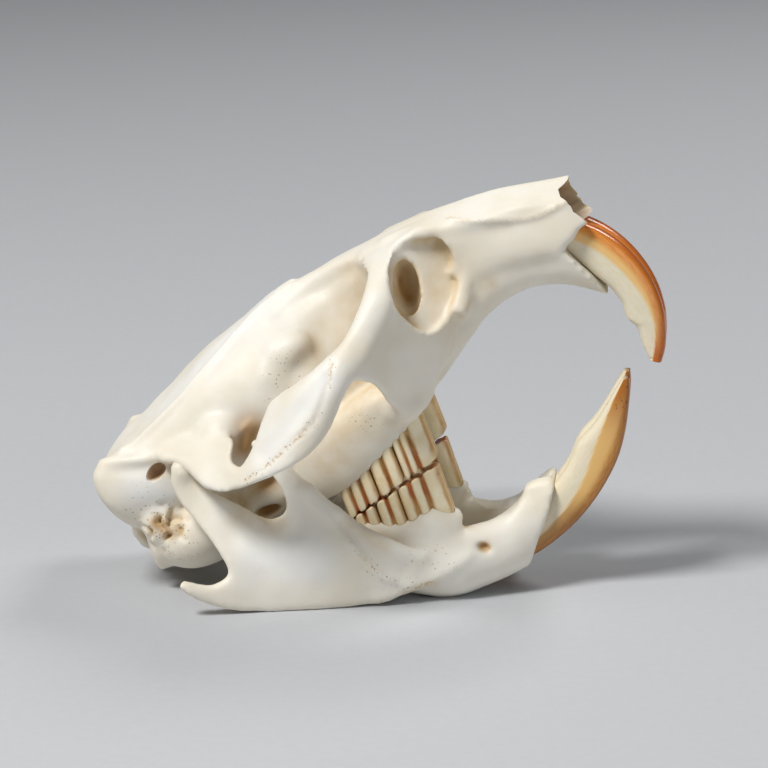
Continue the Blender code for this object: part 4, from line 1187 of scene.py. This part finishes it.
mark_bone(
    jaw,
    pore_spots=(
        (((5.0, -9.6, 4.8), (7.4, -9.2, 4.8)), 1.3),
        (MASSETERIC_CREST[4:], 0.8),
    ),
    amber_spots=((((11.7, -6.6, 5.7), (11.9, -6.6, 5.8)), 0.55),),
    cool_spots=((((-12.0, -14.0, 6.0), (-6.0, -13.4, 5.0)), 3.0),),
    # Painted shade at these spots, in the hollows of the ramus.
    painted_shade_spots=(
        (((-9.8, -12.9, 9.2), (-14.0, -12.9, 10.4)), 1.3),
        (((-2.0, -12.2, 9.4), (1.4, -11.0, 6.6)), 0.7),
        (((3.6, -10.6, 1.1), (6.6, -9.6, 2.0)), 0.6),
    ),
    sutures=((MASSETERIC_CREST[3:], 0.20), (FLANGE_EDGE[:4], 0.20)),
)
jaw_right = opened(jaw, [
    box_of_air("past midline", (-30, -0.15, -5), (30, 5, 30)),
    box_of_air("surface below", (-40, -30, -5), (40, 30, 0)),
    *[grown(tooth, SOCKET_GAP) for _, tooth in lower_teeth],
    incisor("lower root", LOWER_INCISOR_CENTRE, LOWER_INCISOR, grow=ROOT_GAP),
])
carried(jaw, jaw_right, BONE_NOTES)
in_metres(jaw_right)
jaw_left = opened(mirrored(jaw_right), [in_metres(side_slab("left top", JAW_TOP_LEFT, -1, 8))])
carried(jaw_right, jaw_left, BONE_NOTES)
for word, half in (("right", jaw_right), ("left", jaw_left)):
    obj = shown(f"mandible_{word}_shown", half, bone, f"mandible_{word}")
    obj.data.set_sharp_from_angle(angle=SHARP_ANGLE)


# Stage: a plain pale sweep of seamless paper under soft studio lights, with the camera at the
# height and side that the skull is seen from.
PAPER_REACH = 1.4
PAPER_CURL = 0.6


def paper_sweep():
    """A round sheet that lies flat under the skull and curls up far away on every side."""
    profile = [(0.9, 0.0), (PAPER_REACH, 0.0)]
    for k in range(1, 13):
        angle = math.radians(90 * k / 12)
        out = PAPER_REACH + PAPER_CURL * math.sin(angle)
        profile.append((out, PAPER_CURL - PAPER_CURL * math.cos(angle)))
    profile.append((PAPER_REACH + PAPER_CURL, PAPER_CURL + 1.0))
    around = 96
    bm = bmesh.new()
    centre = bm.verts.new((0, 0, 0))
    rings = []
    for reach, height in profile:
        ring = []
        for k in range(around):
            angle = 2 * math.pi * k / around
            ring.append(bm.verts.new((reach * math.cos(angle), reach * math.sin(angle), height)))
        rings.append(ring)
    for k in range(around):
        n = (k + 1) % around
        bm.faces.new((centre, rings[0][k], rings[0][n]))
        for first, second in zip(rings, rings[1:]):
            bm.faces.new((first[k], second[k], second[n], first[n]))
    mesh = mesh_of(bm, "paper_sweep")
    mesh.shade_smooth()
    return mesh


paper = Paint("pale paper")
fibre = paper.noise(paper.where(), 900.0)
paper.feed(paper.sockets["Base Color"], paper.mix(fibre, (0.50, 0.515, 0.54), (0.54, 0.555, 0.58)))
paper.feed(paper.sockets["Roughness"], 0.7)
sweep = linked("paper_sweep", paper_sweep())
sweep.data.materials.append(paper.material)


def soft_light(name, place, aim, size, power, colour):
    light = bpy.data.lights.new(name, "AREA")
    light.shape = "DISK"
    light.size = size
    light.energy = power
    light.color = colour
    obj = linked(name, light)
    obj.location = place
    obj.rotation_euler = (Vector(place) - Vector(aim)).to_track_quat("Z", "Y").to_euler()


middle = (0.0, 0.0, 0.02)
soft_light("key", (-0.28, -0.28, 0.54), middle, 0.20, 4.1, (1.0, 0.985, 0.96))
soft_light("fill", (0.50, -0.45, 0.22), middle, 0.50, 0.8, (0.95, 0.97, 1.0))
soft_light("rim", (0.30, 0.40, 0.50), middle, 0.25, 1.6, (1.0, 0.99, 0.97))

world = bpy.context.scene.world or bpy.data.worlds.new("studio")
bpy.context.scene.world = world
world.use_nodes = True
air = world.node_tree.nodes["Background"]
air.inputs["Color"].default_value = (0.86, 0.89, 0.94, 1.0)
air.inputs["Strength"].default_value = 0.13
bpy.context.scene.view_settings.view_transform = "Standard"

CAMERA_AZIMUTH = math.radians(6.0)
CAMERA_ELEVATION = math.radians(14.0)
CAMERA_DISTANCE = 0.340
CAMERA_TARGET = Vector((0.0, 0.0, 0.0217))
PIXELS_PER_METRE = 9200.0
PICTURE_WIDTH = 768
PIXELS_ASIDE = 2
SENSOR_WIDTH = 36.0
camera = bpy.data.cameras.new("camera")
camera.sensor_width = SENSOR_WIDTH
camera.lens = CAMERA_DISTANCE * PIXELS_PER_METRE / PICTURE_WIDTH * SENSOR_WIDTH
camera.shift_x = PIXELS_ASIDE / PICTURE_WIDTH
camera.clip_start = 0.01
back = Vector((
    math.sin(CAMERA_AZIMUTH) * math.cos(CAMERA_ELEVATION),
    -math.cos(CAMERA_AZIMUTH) * math.cos(CAMERA_ELEVATION),
    math.sin(CAMERA_ELEVATION),
))
viewer = linked("camera", camera)
viewer.location = CAMERA_TARGET + back * CAMERA_DISTANCE
viewer.rotation_euler = (-back).to_track_quat("-Z", "Y").to_euler()
bpy.context.scene.camera = viewer
